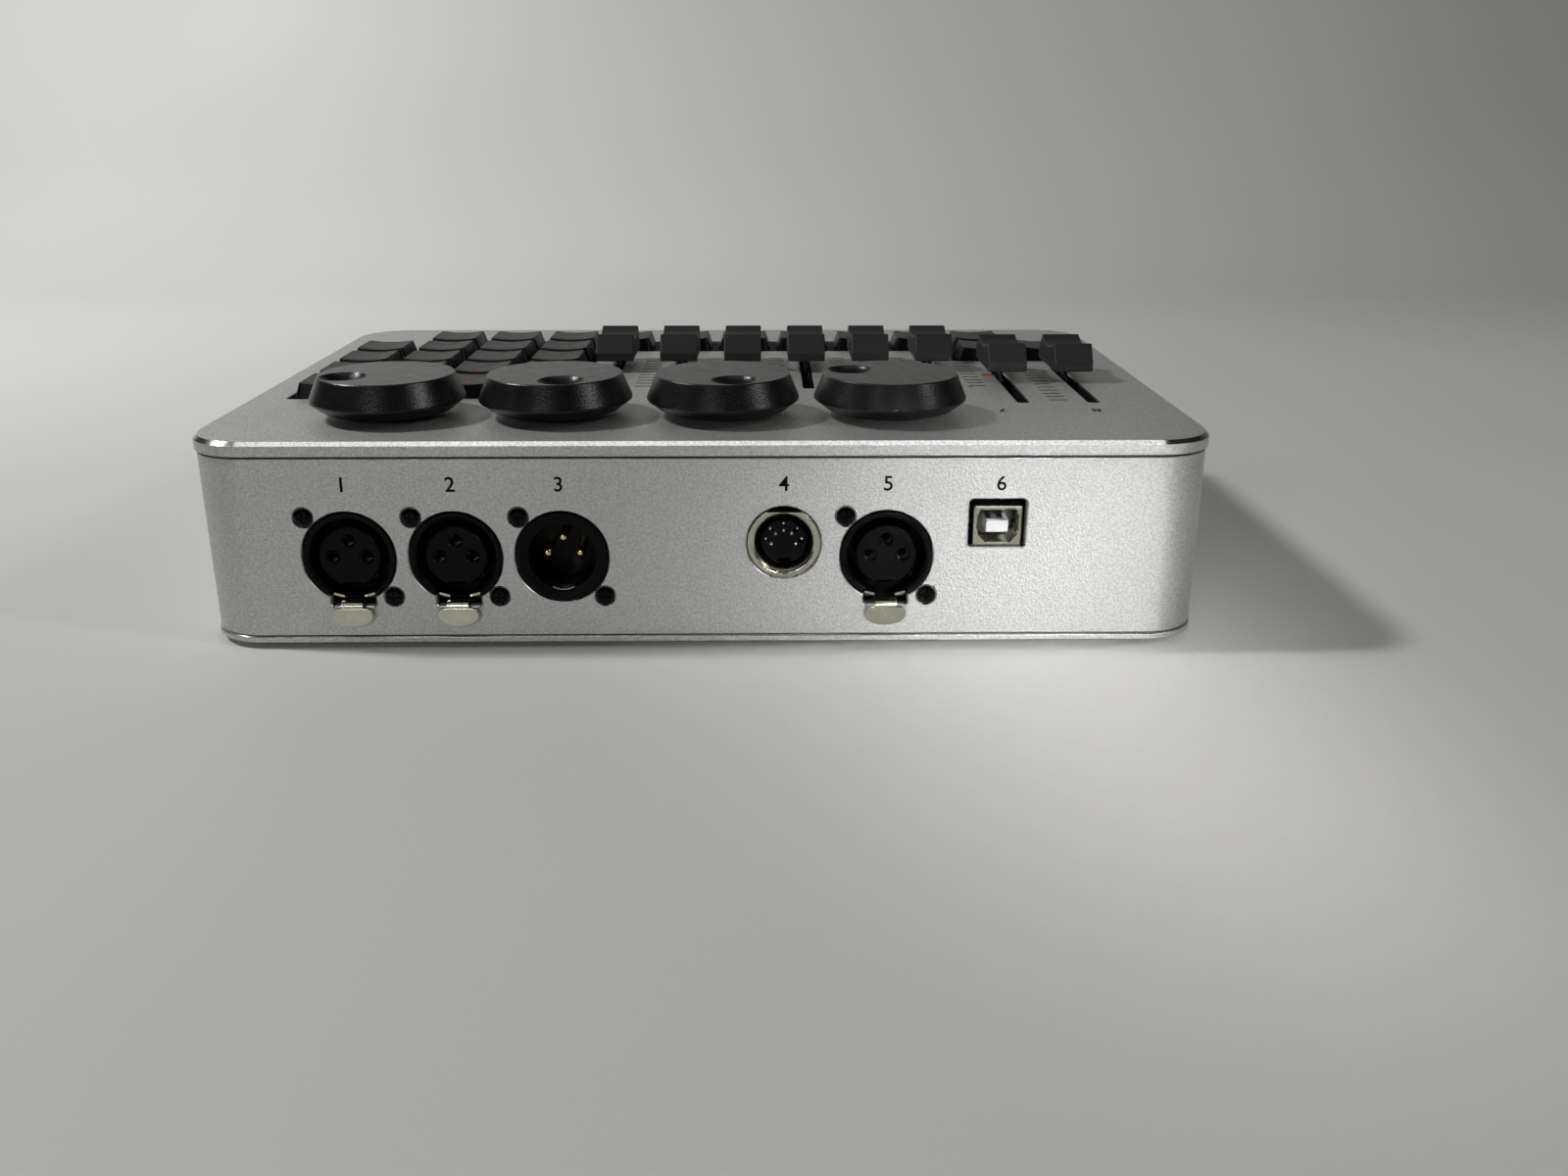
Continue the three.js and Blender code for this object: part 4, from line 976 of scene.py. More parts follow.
def key_mesh():
    """Sloped sides under a dished top, open below round a stem."""
    low = TOP - KEY_SKIRT
    high = TOP + KEY_HEIGHT
    dish_radius = KEY_TOP.x**2 / (8 * KEY_DISH) + KEY_DISH / 2

    def dished(x):
        return high - KEY_DISH + dish_radius - math.sqrt(dish_radius**2 - x**2)

    rings = [level_ring(key_outline(*KEY_BASE, KEY_FOOT_CORNER, KEY_EDGE / 3), low)]
    for share in KEY_SIDE_SHARES:
        size = KEY_BASE.lerp(KEY_TOP, share)
        corner = KEY_FOOT_CORNER + (KEY_CORNER - KEY_FOOT_CORNER) * share
        line = key_outline(*size, corner)
        rings.append([(p.x, p.y, low + (dished(p.x) - KEY_EDGE - low) * share) for p in line])
    for inset, drop in quarter(KEY_EDGE, (22.5, 45, 67.5, 90)):
        rings.append([(p.x, p.y, dished(p.x) - drop) for p in key_outline(*KEY_TOP, KEY_CORNER, inset)])
    for k in range(1, KEY_TOP_STEPS + 1):
        inset = KEY_EDGE + (KEY_TOP.x / 2 - KEY_EDGE) * k / (KEY_TOP_STEPS + 0.3)
        rings.append([(p.x, p.y, dished(p.x)) for p in key_outline(*KEY_TOP, KEY_CORNER, inset)])
    shell = Shell()
    first, last = shell.stack(rings)
    shell.cap(last)
    roof = high - KEY_DISH - KEY_ROOF
    thinner = Vector((2, 2)) * KEY_WALL
    inner_low = key_outline(*(KEY_BASE - thinner), KEY_CORNER)
    inner_high = key_outline(*(KEY_TOP - thinner), KEY_CORNER / 2)
    mouth, ceiling = shell.stack([level_ring(inner_low, low), level_ring(inner_high, roof)])
    shell.skin(first, mouth)
    stem = rectangle(2 * KEY_STEM, 2 * KEY_STEM, KEY_EDGE, 3)(0)
    top, bottom = shell.stack([level_ring(stem, roof), level_ring(stem, key_low.z)])
    shell.cap(ceiling, top)
    shell.cap(bottom)
    return shell.mesh("key_shape")


def make_keys():
    shape = key_mesh()
    for name in keypad + strip:
        key = link(f"{name}_cap", shape)
        key.location = (*middle(name).xy, 0)
        dress(settle(key), KEY_PLASTIC, name, name)


# Fader caps and their levers
def cap_shape():
    """The side view of a cap: sloped ends and a saddle between two ridges."""
    end, ridge = CAP_LENGTH / 2, CAP_RIDGE / 2
    saddle_radius = ridge**2 / (2 * CAP_SADDLE) + CAP_SADDLE / 2
    corners = [(-end, CAP_BOTTOM), (end, CAP_BOTTOM), (end, CAP_SHOULDER), (ridge, CAP_TOP)]
    for k in range(1, DISH_STEPS):
        y = ridge * (1 - 2 * k / DISH_STEPS)
        drop = saddle_radius - math.sqrt(saddle_radius**2 - y**2)
        corners.append((y, CAP_TOP - CAP_SADDLE + drop))
    corners += [(-ridge, CAP_TOP), (-end, CAP_SHOULDER)]
    corners = [Vector(corner) for corner in corners]

    def at(inset):
        made = []
        for before, corner, after in around(shrunk(corners, inset)):
            sharp = (corner - before).angle(after - corner) > math.radians(15)
            radius = max(CAP_BEND - inset, CAP_EDGE / 4) if sharp else 0
            made += bend(before, corner, after, radius, 4)
        return made

    return at


def cap_mesh():
    half, end = CAP_WIDTH / 2, CAP_LENGTH / 2
    rounds = quarter(CAP_EDGE, (90, 60, 30, 0))
    levels = [(inset, -half + drop) for inset, drop in rounds]
    levels += [(inset, half - drop) for inset, drop in reversed(rounds)]
    body = plate("cap_shape", cap_shape(), levels, lift=sideways)
    low = (CAP_WALL - half, CAP_WALL - end, TOP + CAP_BOTTOM - OVERRUN)
    high = (half - CAP_WALL, end - CAP_WALL, TOP + CAP_ROOF)
    return take(carve(body, block("hollow", low, high)))


def lever_mesh():
    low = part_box("crossfader_cap")[0].z
    return take(prism("lever_shape", rectangle(*LEVER_SIZE, LEVER_EASE, 3), low, TOP + CAP_ROOF, upright))


def make_faders():
    cap_form, lever_form = cap_mesh(), lever_mesh()
    for name in caps:
        cap = settle(link(f"{name}_moulding", cap_form))
        lever = link(f"{name}_lever", lever_form)
        for piece, finish in ((cap, CAP_PLASTIC), (lever, CAP_LEVER)):
            piece.location = (*middle(name).xy, 0)
            dress(piece, finish, name, name)


# Knobs
def knob_profile():
    top, rim, base, foot = KNOB_RADII
    high = TOP + KNOB_TOP
    line = [
        (foot - 4 * KNOB_EDGE, TOP + KNOB_FOOT),
        (foot, TOP + KNOB_FOOT),
        (foot, TOP + KNOB_BASE),
        (base, TOP + KNOB_BASE),
        (rim, TOP + KNOB_RIM - KNOB_EDGE / 2),
        (rim, TOP + KNOB_RIM + KNOB_EDGE / 2),
        (top, high - KNOB_EDGE / 2),
        (top - KNOB_EDGE / 2, high),
        (top - 3 * KNOB_EDGE, high),
    ]
    return eased(line, KNOB_EDGE / 3, 4)


def dimple_cutter(x, y):
    ball = DIMPLE_RADIUS**2 / (2 * DIMPLE_DEPTH) + DIMPLE_DEPTH / 2
    reach = math.asin(DIMPLE_RADIUS / ball)
    high = TOP + KNOB_TOP
    angles = [reach * (k + 0.25) / (DISH_STEPS + 0.25) for k in range(DISH_STEPS + 1)]
    bowl = [(ball * math.sin(a), high - DIMPLE_DEPTH + ball - ball * math.cos(a)) for a in angles]
    bowl[-1] = (DIMPLE_RADIUS - DIMPLE_EASE, bowl[-1][1] - DIMPLE_EASE * 0.7)
    bowl.append((DIMPLE_RADIUS + DIMPLE_EASE / 3, high + DIMPLE_EASE / 3))
    bowl.append((DIMPLE_RADIUS + DIMPLE_EASE / 3, high + OVERRUN))
    return turned("dimple", bowl, PAD_SIDES, x=x, y=y)


def make_knobs():
    for name, turn in zip(knobs, DIMPLE_TURNS):
        place = middle(name)
        knob = turned(f"{name}_moulding", knob_profile(), KNOB_SIDES, x=place.x, y=place.y)
        angle = math.radians(turn)
        x = place.x + DIMPLE_FROM_AXIS * math.cos(angle)
        y = place.y + DIMPLE_FROM_AXIS * math.sin(angle)
        carve(knob, dimple_cutter(x, y))
        dress(settle(knob), KNOB_PLASTIC, name, name)
        profile = [(SHAFT_RADIUS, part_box(name)[0].z), (SHAFT_RADIUS, TOP + KNOB_FOOT)]
        shaft = turned(f"{name}_shaft", profile, SHAFT_SIDES, x=place.x, y=place.y)
        dress(shaft, KNOB_SHAFT, name, name)


# Three-pole sockets, built about their own axes and copied to their places
def contact_places():
    return [spoke(CONTACT_CIRCLE, math.pi * share) for share in (0, 0.5, 1)]


def female_mesh():
    """The housing: an insert with three holes inside a ring-shaped groove."""
    profile = [
        (XLR_INSERT - 3 * XLR_EDGE, XLR_INSERT_DEPTH),
        (XLR_INSERT - XLR_EDGE, XLR_INSERT_DEPTH),
        (XLR_INSERT, XLR_INSERT_DEPTH + XLR_EDGE),
        (XLR_INSERT, XLR_GROOVE_DEPTH),
        (XLR_GROOVE, XLR_GROOVE_DEPTH),
        (XLR_GROOVE, XLR_LIP_DEPTH),
        (XLR_LIP, -XLR_PROUD),
        (XLR_RING, -XLR_PROUD),
        (XLR_RING, XLR_BACK),
    ]
    profile = [(XLR_INSERT / 2, XLR_INSERT_DEPTH)] + eased(profile, XLR_EDGE / 2, 4)
    body = turned("female_shape", profile, SOCKET_SIDES, outward)
    shape = rectangle(NOTCH_WIDTH, NOTCH_BOTTOM, y=-NOTCH_TOP - NOTCH_BOTTOM / 2)
    slot = prism("slot", shape, -OVERRUN, LATCH_BOX_DEPTH - LATCH_SHEET)
    recess = prism("recess", rectangle(RECESS.x, RECESS.y, y=-XLR_INSERT), 0, RECESS.x)
    shapes = [circle(CONTACT_HOLE, STUD_SIDES, *place) for place in contact_places()]
    holes = [flared("hole", shape, CONTACT_DEPTH, deeper(XLR_INSERT_DEPTH)) for shape in shapes]
    return take(carve(body, slot, recess, *holes))


def sleeve_mesh():
    """The three contacts, whose ends shine a little inside their holes."""
    shell = Shell()
    front = XLR_INSERT_DEPTH + SLEEVE_DEPTH
    ease = (SLEEVE_OUTER - SLEEVE_INNER) / 3
    profile = [(SLEEVE_INNER, CONTACT_DEPTH), (SLEEVE_INNER, front + ease), (SLEEVE_INNER + ease, front)]
    profile += [(SLEEVE_OUTER - ease, front), (SLEEVE_OUTER, front + ease), (SLEEVE_OUTER, CONTACT_DEPTH)]
    for place in contact_places():
        lines = [(circle(radius, STUD_SIDES, *place)(0), depth) for radius, depth in profile]
        first, last = shell.stack([[outward(p.x, p.y, depth) for p in line] for line, depth in lines])
        shell.skin(last, first)
    return shell.mesh("sleeve_shape")


def nub_mesh():
    """The small rib that guides a plug in."""
    line = rectangle(NUB.x, NUB.y, NUB.y / 3, 3, XLR_INSERT + NUB.x / 2 - XLR_EDGE)
    levels = [(NUB.y / 4, XLR_INSERT_DEPTH), (0, XLR_INSERT_DEPTH + NUB.y / 4), (0, XLR_GROOVE_DEPTH)]
    shape = placed(line, Vector((0, 0)), Matrix.Rotation(math.radians(NUB_TURN), 2))
    return take(plate("nub_shape", shape, levels, lift=outward))


def flange_mesh(with_box):
    """The flange behind the wall, with the box that the latch swings in."""
    outline = rectangle(XLR_FLANGE, XLR_FLANGE, FLANGE_CORNER, 6)
    levels = [(0, FLANGE_FRONT), (0, FLANGE_FRONT + FLANGE_THICKNESS)]
    body = plate("flange_shape", outline, levels, [circle(FLANGE_HOLE, SOCKET_SIDES)], levels, outward)
    if with_box:
        tall = LATCH_BOX_BOTTOM - FLANGE_HOLE * 0.92
        box_shape = rectangle(LATCH_BOX, tall, y=-LATCH_BOX_BOTTOM + tall / 2)
        box = prism("box", box_shape, FLANGE_FRONT, LATCH_BOX_DEPTH)
        slot_shape = rectangle(NOTCH_WIDTH, LATCH_BOX_BOTTOM, y=-NOTCH_TOP - LATCH_BOX_BOTTOM / 2)
        slot = prism("slot", slot_shape, 0, LATCH_BOX_DEPTH - LATCH_SHEET)
        bore = turned("bore", [(FLANGE_HOLE, 0), (FLANGE_HOLE, XLR_BACK)], SOCKET_SIDES, outward)
        carve(body, box, operation="UNION")
        carve(body, slot, bore)
    return take(body)


def screw_mesh():
    profile = [
        (SCREW_HEAD * 0.3, -SCREW_HEIGHT),
        (SCREW_HEAD * 0.62, -SCREW_HEIGHT),
        (SCREW_HEAD, SCREW_SINK / 4),
        (SCREW_HEAD, SCREW_SINK),
        (SCREW_SHANK, SCREW_SINK),
        (SCREW_SHANK, FLANGE_FRONT + FLANGE_THICKNESS),
    ]
    screw = turned("screw_shape", eased(profile, SCREW_HEIGHT / 3, 5), SHAFT_SIDES, outward)
    cross = cross_recess(SCREW_HEAD * 1.15, SCREW_HEIGHT * 0.8, outward, 0, 0, -SCREW_HEIGHT)
    return take(carve(screw, *cross))


# Latches: a thumb tab on a bent neck, with two wings and a hinge pin
def tab_outline(inset):
    """Square shoulders with big corners over a half ellipse."""
    half = TAB_WIDTH / 2
    top = -TAB_TOP_DROP
    shoulder = top - TAB_SHOULDER
    line = []
    for k in range(TAB_STEPS + 1):
        angle = math.pi * k / TAB_STEPS
        drop = (TAB_BOTTOM + shoulder) * math.sin(angle)
        line.append(Vector((-half * math.cos(angle), shoulder - drop)))
    corner = Vector((half, top))
    end = Vector((TAB_TOP / 2, top))
    start = Vector((half, shoulder))
    curve = []
    for k in range(1, 7):
        t = k / 6
        curve.append(start * (1 - t) ** 2 + corner * 2 * t * (1 - t) + end * t**2)
    line += curve
    line += [Vector((-p.x, p.y)) for p in reversed(curve)]
    return shrunk(line, inset)


def neck(half):
    """A strip of sheet that follows the neck's line, half its thickness to either side."""
    line = eased([(depth, -height) for depth, height in LATCH_NECK_LINE], LATCH_BEND, 6)
    upper, lower = [], []
    for before, point, after in zip([line[0]] + line, line, line[1:] + [line[-1]]):
        way = (after - before).normalized() * half
        upper.append(point + Vector((-way.y, way.x)))
        lower.append(point - Vector((-way.y, way.x)))
    profile = upper + list(reversed(lower))
    shell = Shell()
    shell.body([[outward(x, p.y, p.x) for p in profile] for x in (-LATCH_NECK / 2, LATCH_NECK / 2)])
    return link("neck", shell.mesh("neck"))


def latch_mesh():
    ease = TAB_THICKNESS / 4
    front = -TAB_STAND_OFF - TAB_THICKNESS
    levels = [(2 * ease, front), (0, front), (0, -TAB_STAND_OFF), (2 * ease, -TAB_STAND_OFF)]
    tab = plate("latch_shape", tab_outline, eased(levels, ease, 4)[1:-1], lift=outward)
    half = LATCH_SHEET / 2
    sheet_shape = rectangle(LATCH_PLATE, LATCH_SHEET, half / 2, 3, y=-LATCH_PIVOT)
    sheet = prism("sheet", sheet_shape, LATCH_PLATE_FRONT, LATCH_PIVOT_DEPTH)
    return take(carve(tab, neck(half), sheet, operation="UNION"))


def wing_mesh():
    """Two slanting blades over the latch, each on its own web further in."""
    shell = Shell()
    foot = -LATCH_PIVOT + LATCH_SHEET / 2
    for side in (-1, 1):
        inner = Vector((side * WING_INNER.x, WING_INNER.y))
        outer = Vector((side * WING_OUTER.x, WING_OUTER.y))
        drop = Vector((0, -LATCH_SHEET))
        far = Vector((inner.x + side * LATCH_SHEET, foot))
        blade = [inner, outer, outer + drop, inner + drop]
        web = [inner, Vector((far.x, inner.y)), far, Vector((inner.x, foot))]
        for line, front in ((blade, WING_DEPTH), (web, WING_DEPTH + 4 * LATCH_SHEET)):
            shell.body([[outward(p.x, p.y, depth) for p in line] for depth in (front, LATCH_PIVOT_DEPTH)])
    return shell.mesh("wing_shape")


def pin_mesh():
    half = LATCH_BOX / 2 - RIM_GAP
    return take(turned("hinge_shape", [(LATCH_PIN, -half), (LATCH_PIN, half)], HINGE_SIDES, along_hinge))


def make_latch(name, forms, x):
    """The parts of a latch; their faces deep in the socket get the dark steel as painted shade."""
    for part, form in forms.items():
        piece = seat(link(f"{name}_{part}", form), x, SOCKET_Z)
        dress(settle(piece), NICKEL, name, name)
        # Painted shade: faces deep in the socket take the dark steel, as they lie in shadow.
        piece.data.materials.append(dark_steel_and_latch_shade)
        for face in piece.data.polygons:
            face.material_index = int(face.center.y > PANEL_Y + WING_DEPTH + LATCH_SHEET)


def make_females():
    housing_form, screw_form = female_mesh(), screw_mesh()
    forms = {"flange": flange_mesh(True), "rib": nub_mesh(), "contacts": sleeve_mesh()}
    latch_forms = {"tab": latch_mesh(), "wings": wing_mesh(), "pin": pin_mesh()}
    for n in females:
        x, node = socket_x[n], f"xlr_socket_{n}"
        housing = seat(link(f"{node}_housing", housing_form), x, SOCKET_Z)
        dress(settle(housing), SOCKET_BLACK, CASE, node)
        for part, form in forms.items():
            finish = NICKEL if part == "contacts" else SOCKET_BLACK
            dress(seat(link(f"{node}_{part}", form), x, SOCKET_Z), finish, CASE, node)
        make_latch(f"xlr_latch_{n}", latch_forms, x)
    for n in socket_x:
        for k, place in enumerate(screw_places(socket_x[n]), 1):
            screw = seat(link(f"xlr_socket_{n}_screw_{k}", screw_form), *place)
            dress(screw, SOCKET_SCREW, CASE, f"xlr_socket_{n}")


def male_housing(name):
    profile = [
        (CAVITY_RADIUS * 0.9, CAVITY_DEPTH),
        (CAVITY_RADIUS, CAVITY_DEPTH),
        (CAVITY_RADIUS, FACE_DIP),
        (XLR_LIP, 0),
        (XLR_LIP + XLR_PROUD, -XLR_PROUD),
        (XLR_RING, -XLR_PROUD),
        (XLR_RING, XLR_BACK),
    ]
    profile = [(CAVITY_RADIUS / 2, CAVITY_DEPTH)] + eased(profile, XLR_PROUD / 2, 4)
    body = turned(name, profile, SOCKET_SIDES, outward)
    low = -CAVITY_RADIUS - STRIKE_HEIGHT / 2
    high = -CAVITY_RADIUS + STRIKE_HEIGHT
    strike_shape = rectangle(STRIKE_WIDTH, high - low, y=(low + high) / 2)
    return carve(body, prism("strike", strike_shape, -OVERRUN, STRIKE_DEPTH))


def strike_spring(name):
    """The curved sheet at the foot of the cavity that a plug's latch strikes."""
    sheet, arc = STRIKE_HEIGHT / 6, STRIKE_WIDTH
    reach = math.asin(STRIKE_WIDTH / 2 / arc)
    turns = [reach * (k / 6 - 1) - math.pi / 2 for k in range(13)]
    sweep = [(arc, turn) for turn in turns] + [(arc - sheet, turn) for turn in reversed(turns)]
    line = [(r * math.cos(t), r * math.sin(t) + arc - CAVITY_RADIUS - sheet) for r, t in sweep]
    shell = Shell()
    shell.body([[outward(u, v, depth) for u, v in line] for depth in (XLR_PROUD, STRIKE_DEPTH)])
    return link(name, shell.mesh("spring"))


def make_male():
    x, node, carrier = socket_x[3], "xlr_socket_3", "xlr_pin_carrier_3"
    dress(settle(seat(male_housing(f"{node}_housing"), x, SOCKET_Z)), SOCKET_BLACK, CASE, node)
    dress(seat(link(f"{node}_flange", flange_mesh(False)), x, SOCKET_Z), SOCKET_BLACK, CASE, node)
    dress(seat(strike_spring(f"{node}_spring"), x, SOCKET_Z), NICKEL, CASE, node)
    floor = CAVITY_DEPTH - RIM_GAP
    reach = CAVITY_RADIUS - RIM_GAP
    disc = turned(f"{carrier}_disc", [(reach, floor - CARRIER_THICKNESS), (reach, floor)], PAD_SIDES, outward)
    dress(seat(disc, x, SOCKET_Z), SOCKET_BLACK, CASE, carrier)
    angles = [math.radians(turn) for turn in (8, 20, 35, 50, 65, 80, 90)]
    profile = [(PIN_RADIUS * math.sin(a), PIN_TIP_DEPTH + PIN_RADIUS * (1 - math.cos(a))) for a in angles]
    profile.append((PIN_RADIUS, floor - CARRIER_THICKNESS / 2))
    for n, place in enumerate(contact_places(), 1):
        pin = turned(f"{carrier}_pin_{n}", profile, POST_SIDES, outward)
        dress(seat(pin, x + place.x, SOCKET_Z + place.y), GOLD, CASE, carrier)


# Round five-way socket
def make_din_shield():
    profile = [
        (DIN_BORE, XLR_BACK),
        (DIN_BORE, 2 * DIN_LIP),
        (DIN_BORE + 0.7 * DIN_LIP, DIN_LIP),
        (DIN_BORE + 1.6 * DIN_LIP, DIN_LIP / 4),
        (DIN_BORE + 2.5 * DIN_LIP, 0),
        (DIN_RADIUS - DIN_LIP / 3, DIN_LIP / 8),
        (DIN_RADIUS, DIN_LIP / 3),
        (DIN_RADIUS, XLR_BACK),
    ]
    shield = turned("din_shield_ring", eased(profile, DIN_LIP / 2, 5), SOCKET_SIDES, outward, closed=True)
    above = rectangle(2 * DIN_HOLE, DIN_HOLE, y=DIN_FLAT + DIN_HOLE / 2)
    carve(shield, prism("above", above, -OVERRUN, XLR_BACK + OVERRUN))
    dress(settle(seat(shield, DIN_X, DIN_Z)), NICKEL, CASE, "din_shield")


def din_slots():
    """The place and the turn of each contact's slot."""
    slots = []
    for turn, spin in DIN_CONTACT_TURNS:
        place = spoke(DIN_CONTACT_CIRCLE, math.radians(turn))
        slots.append((place, Matrix.Rotation(math.radians(spin), 2)))
    return slots


def make_din_insert():
    profile = [
        (DIN_INSERT / 2, DIN_INSERT_DEPTH),
        (DIN_INSERT, DIN_INSERT_DEPTH),
        (DIN_INSERT, DIN_BASE_DEPTH),
        (DIN_BORE - RIM_GAP, DIN_BASE_DEPTH),
        (DIN_BORE - RIM_GAP, XLR_BACK),
    ]
    insert = turned("din_insert", eased(profile, DIN_LIP / 2, 4), SOCKET_SIDES, outward)
    lift = deeper(DIN_INSERT_DEPTH)
    radial = rectangle(*DIN_SLOT, DIN_SLOT.y / 3, 4)
    shapes = [placed(radial, place, spin) for place, spin in din_slots()]
    cutters = [flared("slot", shape, DIN_SLOT_DEPTH, lift, CUT_CHAMFER / 2) for shape in shapes]
    key = rectangle(DIN_KEY.x, 2 * DIN_KEY.y, DIN_KEY.y / 3, 4, y=-DIN_INSERT)
    carve(insert, *cutters, flared("key", key, DIN_BASE_DEPTH, lift, CUT_CHAMFER / 2))
    dress(settle(seat(insert, DIN_X, DIN_Z)), SOCKET_BLACK, CASE, "socket_board")


def make_din_contacts():
    """Two leaves in each slot, whose real tips are painted near white as glints."""
    tip = DIN_SLOT.y / 4
    levels = [(tip / 2, DIN_INSERT_DEPTH + tip / 2), (0, DIN_INSERT_DEPTH + tip), (0, DIN_SLOT_DEPTH)]
    for n, (place, spin) in enumerate(din_slots(), 1):
        shell = Shell()
        for side in (-1, 1):
            off = side * (DIN_SLOT.x / 2 - 1.5 * tip)
            leaf = placed(rectangle(2 * tip, 2 * tip, tip / 2, 2, off), place, spin)
            shell.body([[outward(p.x, p.y, depth) for p in leaf(inset)] for inset, depth in levels])
        contact = seat(link(f"din_contact_{n}", shell.mesh("din_contact")), DIN_X, DIN_Z)
        dress(contact, TIP_GLINT, CASE, "socket_board")


# Data socket
def usb_opening(grow=0.0):
    """The mouth of the shell: cut lower corners, nicked upper ones and a shallow notch in each side."""
    half, cut, nick = USB_OPENING / 2, USB_OPENING_CUT, USB_NICK
    low, high, deep = USB_NOTCH
    right = [(half.x - cut.x, -half.y), (half.x, cut.y - half.y), (half.x, low), (half.x + deep, low)]
    right += [(half.x + deep, high), (half.x, high), (half.x, half.y - nick), (half.x - nick, half.y)]
    line = right + [(-u, v) for u, v in reversed(right)]
    shape = polygon([(USB_X + u, USB_Z + v) for u, v in line], USB_CORNER / 4, 3)
    return lambda inset: shape(inset - grow)


def make_usb():
    outline = rectangle(*USB_SHELL, USB_CORNER, 5, USB_X, USB_Z)
    levels = [(XLR_EDGE, USB_DEPTH), (0, USB_DEPTH + XLR_EDGE), (0, XLR_BACK)]
    hole_levels = [(HOLE_EASE, USB_DEPTH), (0, USB_DEPTH + HOLE_EASE), (0, XLR_BACK)]
    shell = plate("usb_shell_sleeve", outline, levels, [usb_opening()], hole_levels, outward)
    dress(settle(shell), NICKEL, CASE, "usb_shell")
    # The back of the insert takes a mid-grey: painted shade on the white plastic.
    back = prism("usb_insert_back", usb_opening(-RIM_GAP), USB_CAVITY, XLR_BACK)
    dress(back, SHADED_PLASTIC, CASE, "usb_insert")
    ease = USB_CORNER / 2
    tongue_line = rectangle(*USB_TONGUE, ease, 4, USB_X, USB_Z - USB_TONGUE_DROP)
    levels = [(ease, USB_TONGUE_DEPTH), (0, USB_TONGUE_DEPTH + ease), (0, USB_CAVITY + RIM_GAP)]
    tongue = plate("usb_insert_tongue", tongue_line, levels, lift=outward)
    dress(settle(tongue), WHITE_PLASTIC, CASE, "usb_insert")
    low, high = USB_TONGUE.y / 2 - USB_TONGUE_DROP, USB_OPENING.y / 2
    for n, (left, deep) in enumerate(zip(USB_CONTACT_LEFTS, USB_CONTACT_DEPTHS), 1):
        right = left + USB_CONTACT_WIDTH
        line = [(left, low), (right, low), (right - USB_CONTACT_LEAN, high), (left - USB_CONTACT_LEAN, high)]
        shape = polygon([(USB_X + u, USB_Z + v) for u, v in line])
        mark = prism(f"usb_insert_contact_{n}", shape, deep, deep + USB_CONTACT_LENGTH)
        dress(mark, SOCKET_BLACK, CASE, "usb_insert")


# Boards
def make_boards():
    low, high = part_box("socket_board")
    front = PANEL_Y + XLR_BACK + RIM_GAP
    sheet = block("socket_board_sheet", (low.x, front, low.z), (high.x, high.y, high.z))
    dress(sheet, BOARD, CASE, "socket_board")
    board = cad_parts["control_board"]
    board.data.materials.clear()
    board.data.materials.append(board_green)


# Printed marks
def on_lid(x, y, rise):
    return Vector((x, y, TOP + rise))


def on_panel(x, z, rise):
    return Vector((x, PANEL_Y - rise, z))


def on_key(x, y, rise):
    return Vector((x, y, TOP + KEY_HEIGHT - KEY_DISH + rise + KEY_PRINT_RISE))


def numeral(name, text, height, x, y, lift, side=1):
    """Plain figures of a given height, centred at (x, y) on a face, or turned half round where side is -1."""
    letters = bpy.data.curves.new(name, "FONT")
    letters.body = text
    letters.extrude = PRINT_RISE
    letters.offset = FIGURE_WEIGHT
    piece = link(name, letters)
    bpy.context.view_layer.update()
    graph = bpy.context.evaluated_depsgraph_get()
    mesh = bpy.data.meshes.new_from_object(piece.evaluated_get(graph))
    bpy.data.objects.remove(piece)
    bpy.data.curves.remove(letters)
    low = Vector([min(v.co[k] for v in mesh.vertices) for k in range(3)])
    high = Vector([max(v.co[k] for v in mesh.vertices) for k in range(3)])
    size = height / (high.y - low.y)
    centre = (low + high) / 2
    for v in mesh.vertices:
        flat = (v.co - centre) * size * side
        v.co = lift(x + flat.x, y + flat.y, PRINT_RISE if v.co.z > 0 else -PRINT_SINK)
    body = bmesh.new()
    body.from_mesh(mesh)
    bmesh.ops.remove_doubles(body, verts=body.verts, dist=1e-6)
    bmesh.ops.recalc_face_normals(body, faces=body.faces)
    body.to_mesh(mesh)
    body.free()
    return link(name, mesh)


def make_scales():
    for cap in caps[:-1]:
        place = slot_middle(cap)
        shell = Shell()
        for k in range(TICK_COUNT):
            y = place.y - SCALE_LENGTH / 2 + SCALE_LENGTH * k / (TICK_COUNT - 1)
            line = rectangle(TICK_LENGTH, TICK_WIDTH, x=place.x + SCALE_OFFSET, y=y)(0)
            shell.body([[on_lid(p.x, p.y, rise) for p in line] for rise in (-PRINT_RISE, PRINT_RISE)])
        dress(link(f"{cap}_scale", shell.mesh("scale")), PRINT_DARK, CASE)


def make_panel_numbers():
    places = [socket_x[1], socket_x[2], socket_x[3], DIN_X, socket_x[4], usb_middle.x]
    for n, x in enumerate(places, 1):
        mark = numeral(f"panel_number_{n}", str(n), PANEL_NUMBER_HEIGHT, x, PANEL_NUMBER_Z, on_panel)
        dress(mark, PRINT_DARK, CASE)


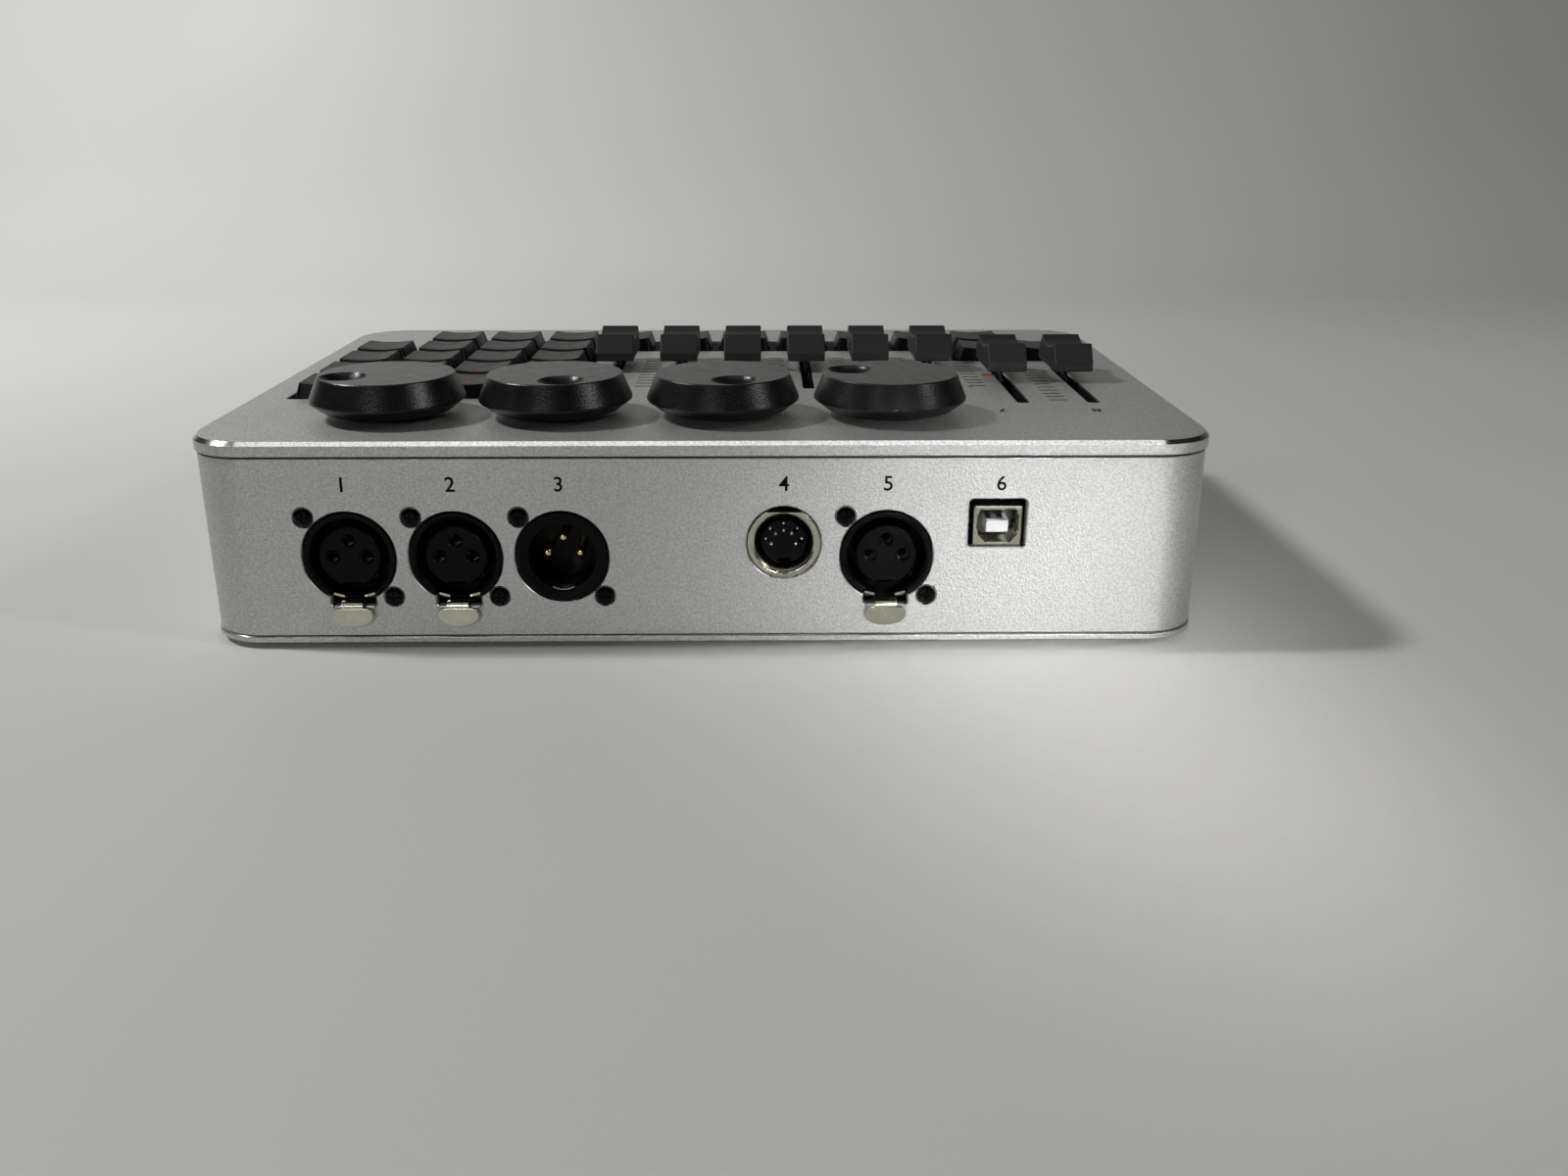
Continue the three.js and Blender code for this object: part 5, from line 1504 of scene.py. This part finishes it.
def make_lid_marks():
    """Figures that are read from the far side, and the small coloured marks on keys and lid."""
    for text, x in LID_NUMBER_X.items():
        mark = numeral(f"lid_number_{text}", text, LID_NUMBER_HEIGHT, x, LID_NUMBER_Y, on_lid, -1)
        dress(mark, PRINT_DARK, CASE)
    for n, place in enumerate(LID_FIGURE_PLACES, 1):
        dress(numeral(f"lid_figure_{n}", str(n), LID_FIGURE_HEIGHT, *place, on_lid, -1), PRINT_DARK, CASE)
    shape = rectangle(*COLOUR_MARK_SIZE, COLOUR_MARK_CORNER, 3, *COLOUR_MARK_PLACE)
    dress(prism("lid_colour_mark", shape, -PRINT_RISE, PRINT_RISE, on_lid), PRINT_RED, CASE)
    for n, name in enumerate(KEYS_WITH_FIGURES, 1):
        key = f"keypad_key_{name}"
        x, y = middle(key).xy
        mark = numeral(f"key_figure_{name}", str(n), KEY_FIGURE_HEIGHT, x, y - KEY_FIGURE_DROP, on_key, -1)
        dress(mark, PRINT_AMBER, key)


# Stage, light and camera
def make_stage():
    """A paper that lies flat and sweeps up behind the object."""
    line = [Vector((SWEEP_NEAR, 0)), Vector((SWEEP_TURN, 0))]
    for k in range(1, SWEEP_STEPS + 1):
        angle = math.pi / 2 * k / SWEEP_STEPS
        up = SWEEP_RADIUS * (1 - math.cos(angle))
        line.append(Vector((SWEEP_TURN + SWEEP_RADIUS * math.sin(angle), up)))
    line.append(Vector((SWEEP_TURN + SWEEP_RADIUS, SWEEP_HIGH)))
    shell = Shell()
    rings = [shell.ring([(x, p.x, p.y) for x in (-SWEEP_HALF, SWEEP_HALF)]) for p in line]
    for low, high in zip(rings, rings[1:]):
        shell.faces.append((low[0], low[1], high[1], high[0]))
    sweep = link("sweep", shell.mesh("sweep", 60))
    paper = Surface("sweep_paper", specular=0.4)
    tone = paper.between(paper.noise(size=0.4), grey(198, warm=0.014), grey(203, warm=0.014))
    paper.set("Base Color", tone)
    paper.set("Roughness", paper.ranged(paper.noise(size=0.2), 0.5, 0.6))
    sweep.data.materials.append(paper.material)


def lamp(name, place, target, energy, **settings):
    data = bpy.data.lights.new(name, "AREA")
    data.energy = energy
    for key, value in settings.items():
        setattr(data, key, value)
    light = link(name, data)
    light.location = place
    light.rotation_euler = (Vector(target) - Vector(place)).to_track_quat("-Z", "Y").to_euler()


def make_light():
    wide = {"shape": "SQUARE", "size": 0.16, "spread": math.radians(115)}
    strip = {"shape": "RECTANGLE", "size": 1.1, "size_y": 0.18}
    beam = {"shape": "RECTANGLE", "size": 0.08, "size_y": 0.04, "spread": math.radians(15)}
    lamp("left_lamp", (-1.0, 0.03, 1.12), (-0.32, 0.56, 0.05), 8.0, **wide)
    lamp("right_lamp", (0.85, -0.4, 0.68), (0, 0, 0), 1.8, shape="SQUARE", size=0.15)
    lamp("fill_lamp", (-0.2, -0.66, 0.24), (-0.05, -0.09, 0.03), 0.66, shape="SQUARE", size=0.12)
    lamp("top_strip", (-0.05, -0.36, 1.1), (-0.05, -0.1, 0), 1.0, **strip)
    lamp("front_beam", (0.2, -0.66, 0.215), (0.084, -0.09, 0.012), 0.038, **beam)
    world = bpy.data.worlds.new("studio")
    world.use_nodes = True
    back = world.node_tree.nodes["Background"]
    back.inputs["Color"].default_value = (0.8, 0.8, 0.77, 1)
    back.inputs["Strength"].default_value = 0.02
    bpy.context.scene.world = world


def make_camera():
    pitch, yaw, roll = (math.radians(a) for a in (CAMERA_PITCH, CAMERA_YAW, CAMERA_ROLL))
    ahead = Vector((math.sin(yaw) * math.cos(pitch), math.cos(yaw) * math.cos(pitch), -math.sin(pitch)))
    level = Vector((math.cos(yaw), -math.sin(yaw), 0))
    above = level.cross(ahead)
    right = math.cos(roll) * level + math.sin(roll) * above
    up = math.cos(roll) * above - math.sin(roll) * level
    turn = Matrix((right, up, -ahead)).transposed()
    data = bpy.data.cameras.new("camera")
    data.sensor_width = SENSOR
    data.sensor_fit = "HORIZONTAL"
    data.lens = FOCAL_PIXELS * SENSOR / PHOTO_WIDTH
    data.clip_start = 0.01
    camera = link("camera", data)
    camera.matrix_world = Matrix.Translation(CAMERA_PLACE) @ turn.to_4x4()
    bpy.context.scene.camera = camera


make_camera()
make_stage()
make_light()
make_lid()
make_lid_underside()
make_wall()
make_base()
make_feet()
make_keys()
make_faders()
make_knobs()
make_females()
make_male()
make_din_shield()
make_din_insert()
make_din_contacts()
make_usb()
make_boards()
make_scales()
make_panel_numbers()
make_lid_marks()
bpy.context.scene.view_settings.view_transform = "Standard"
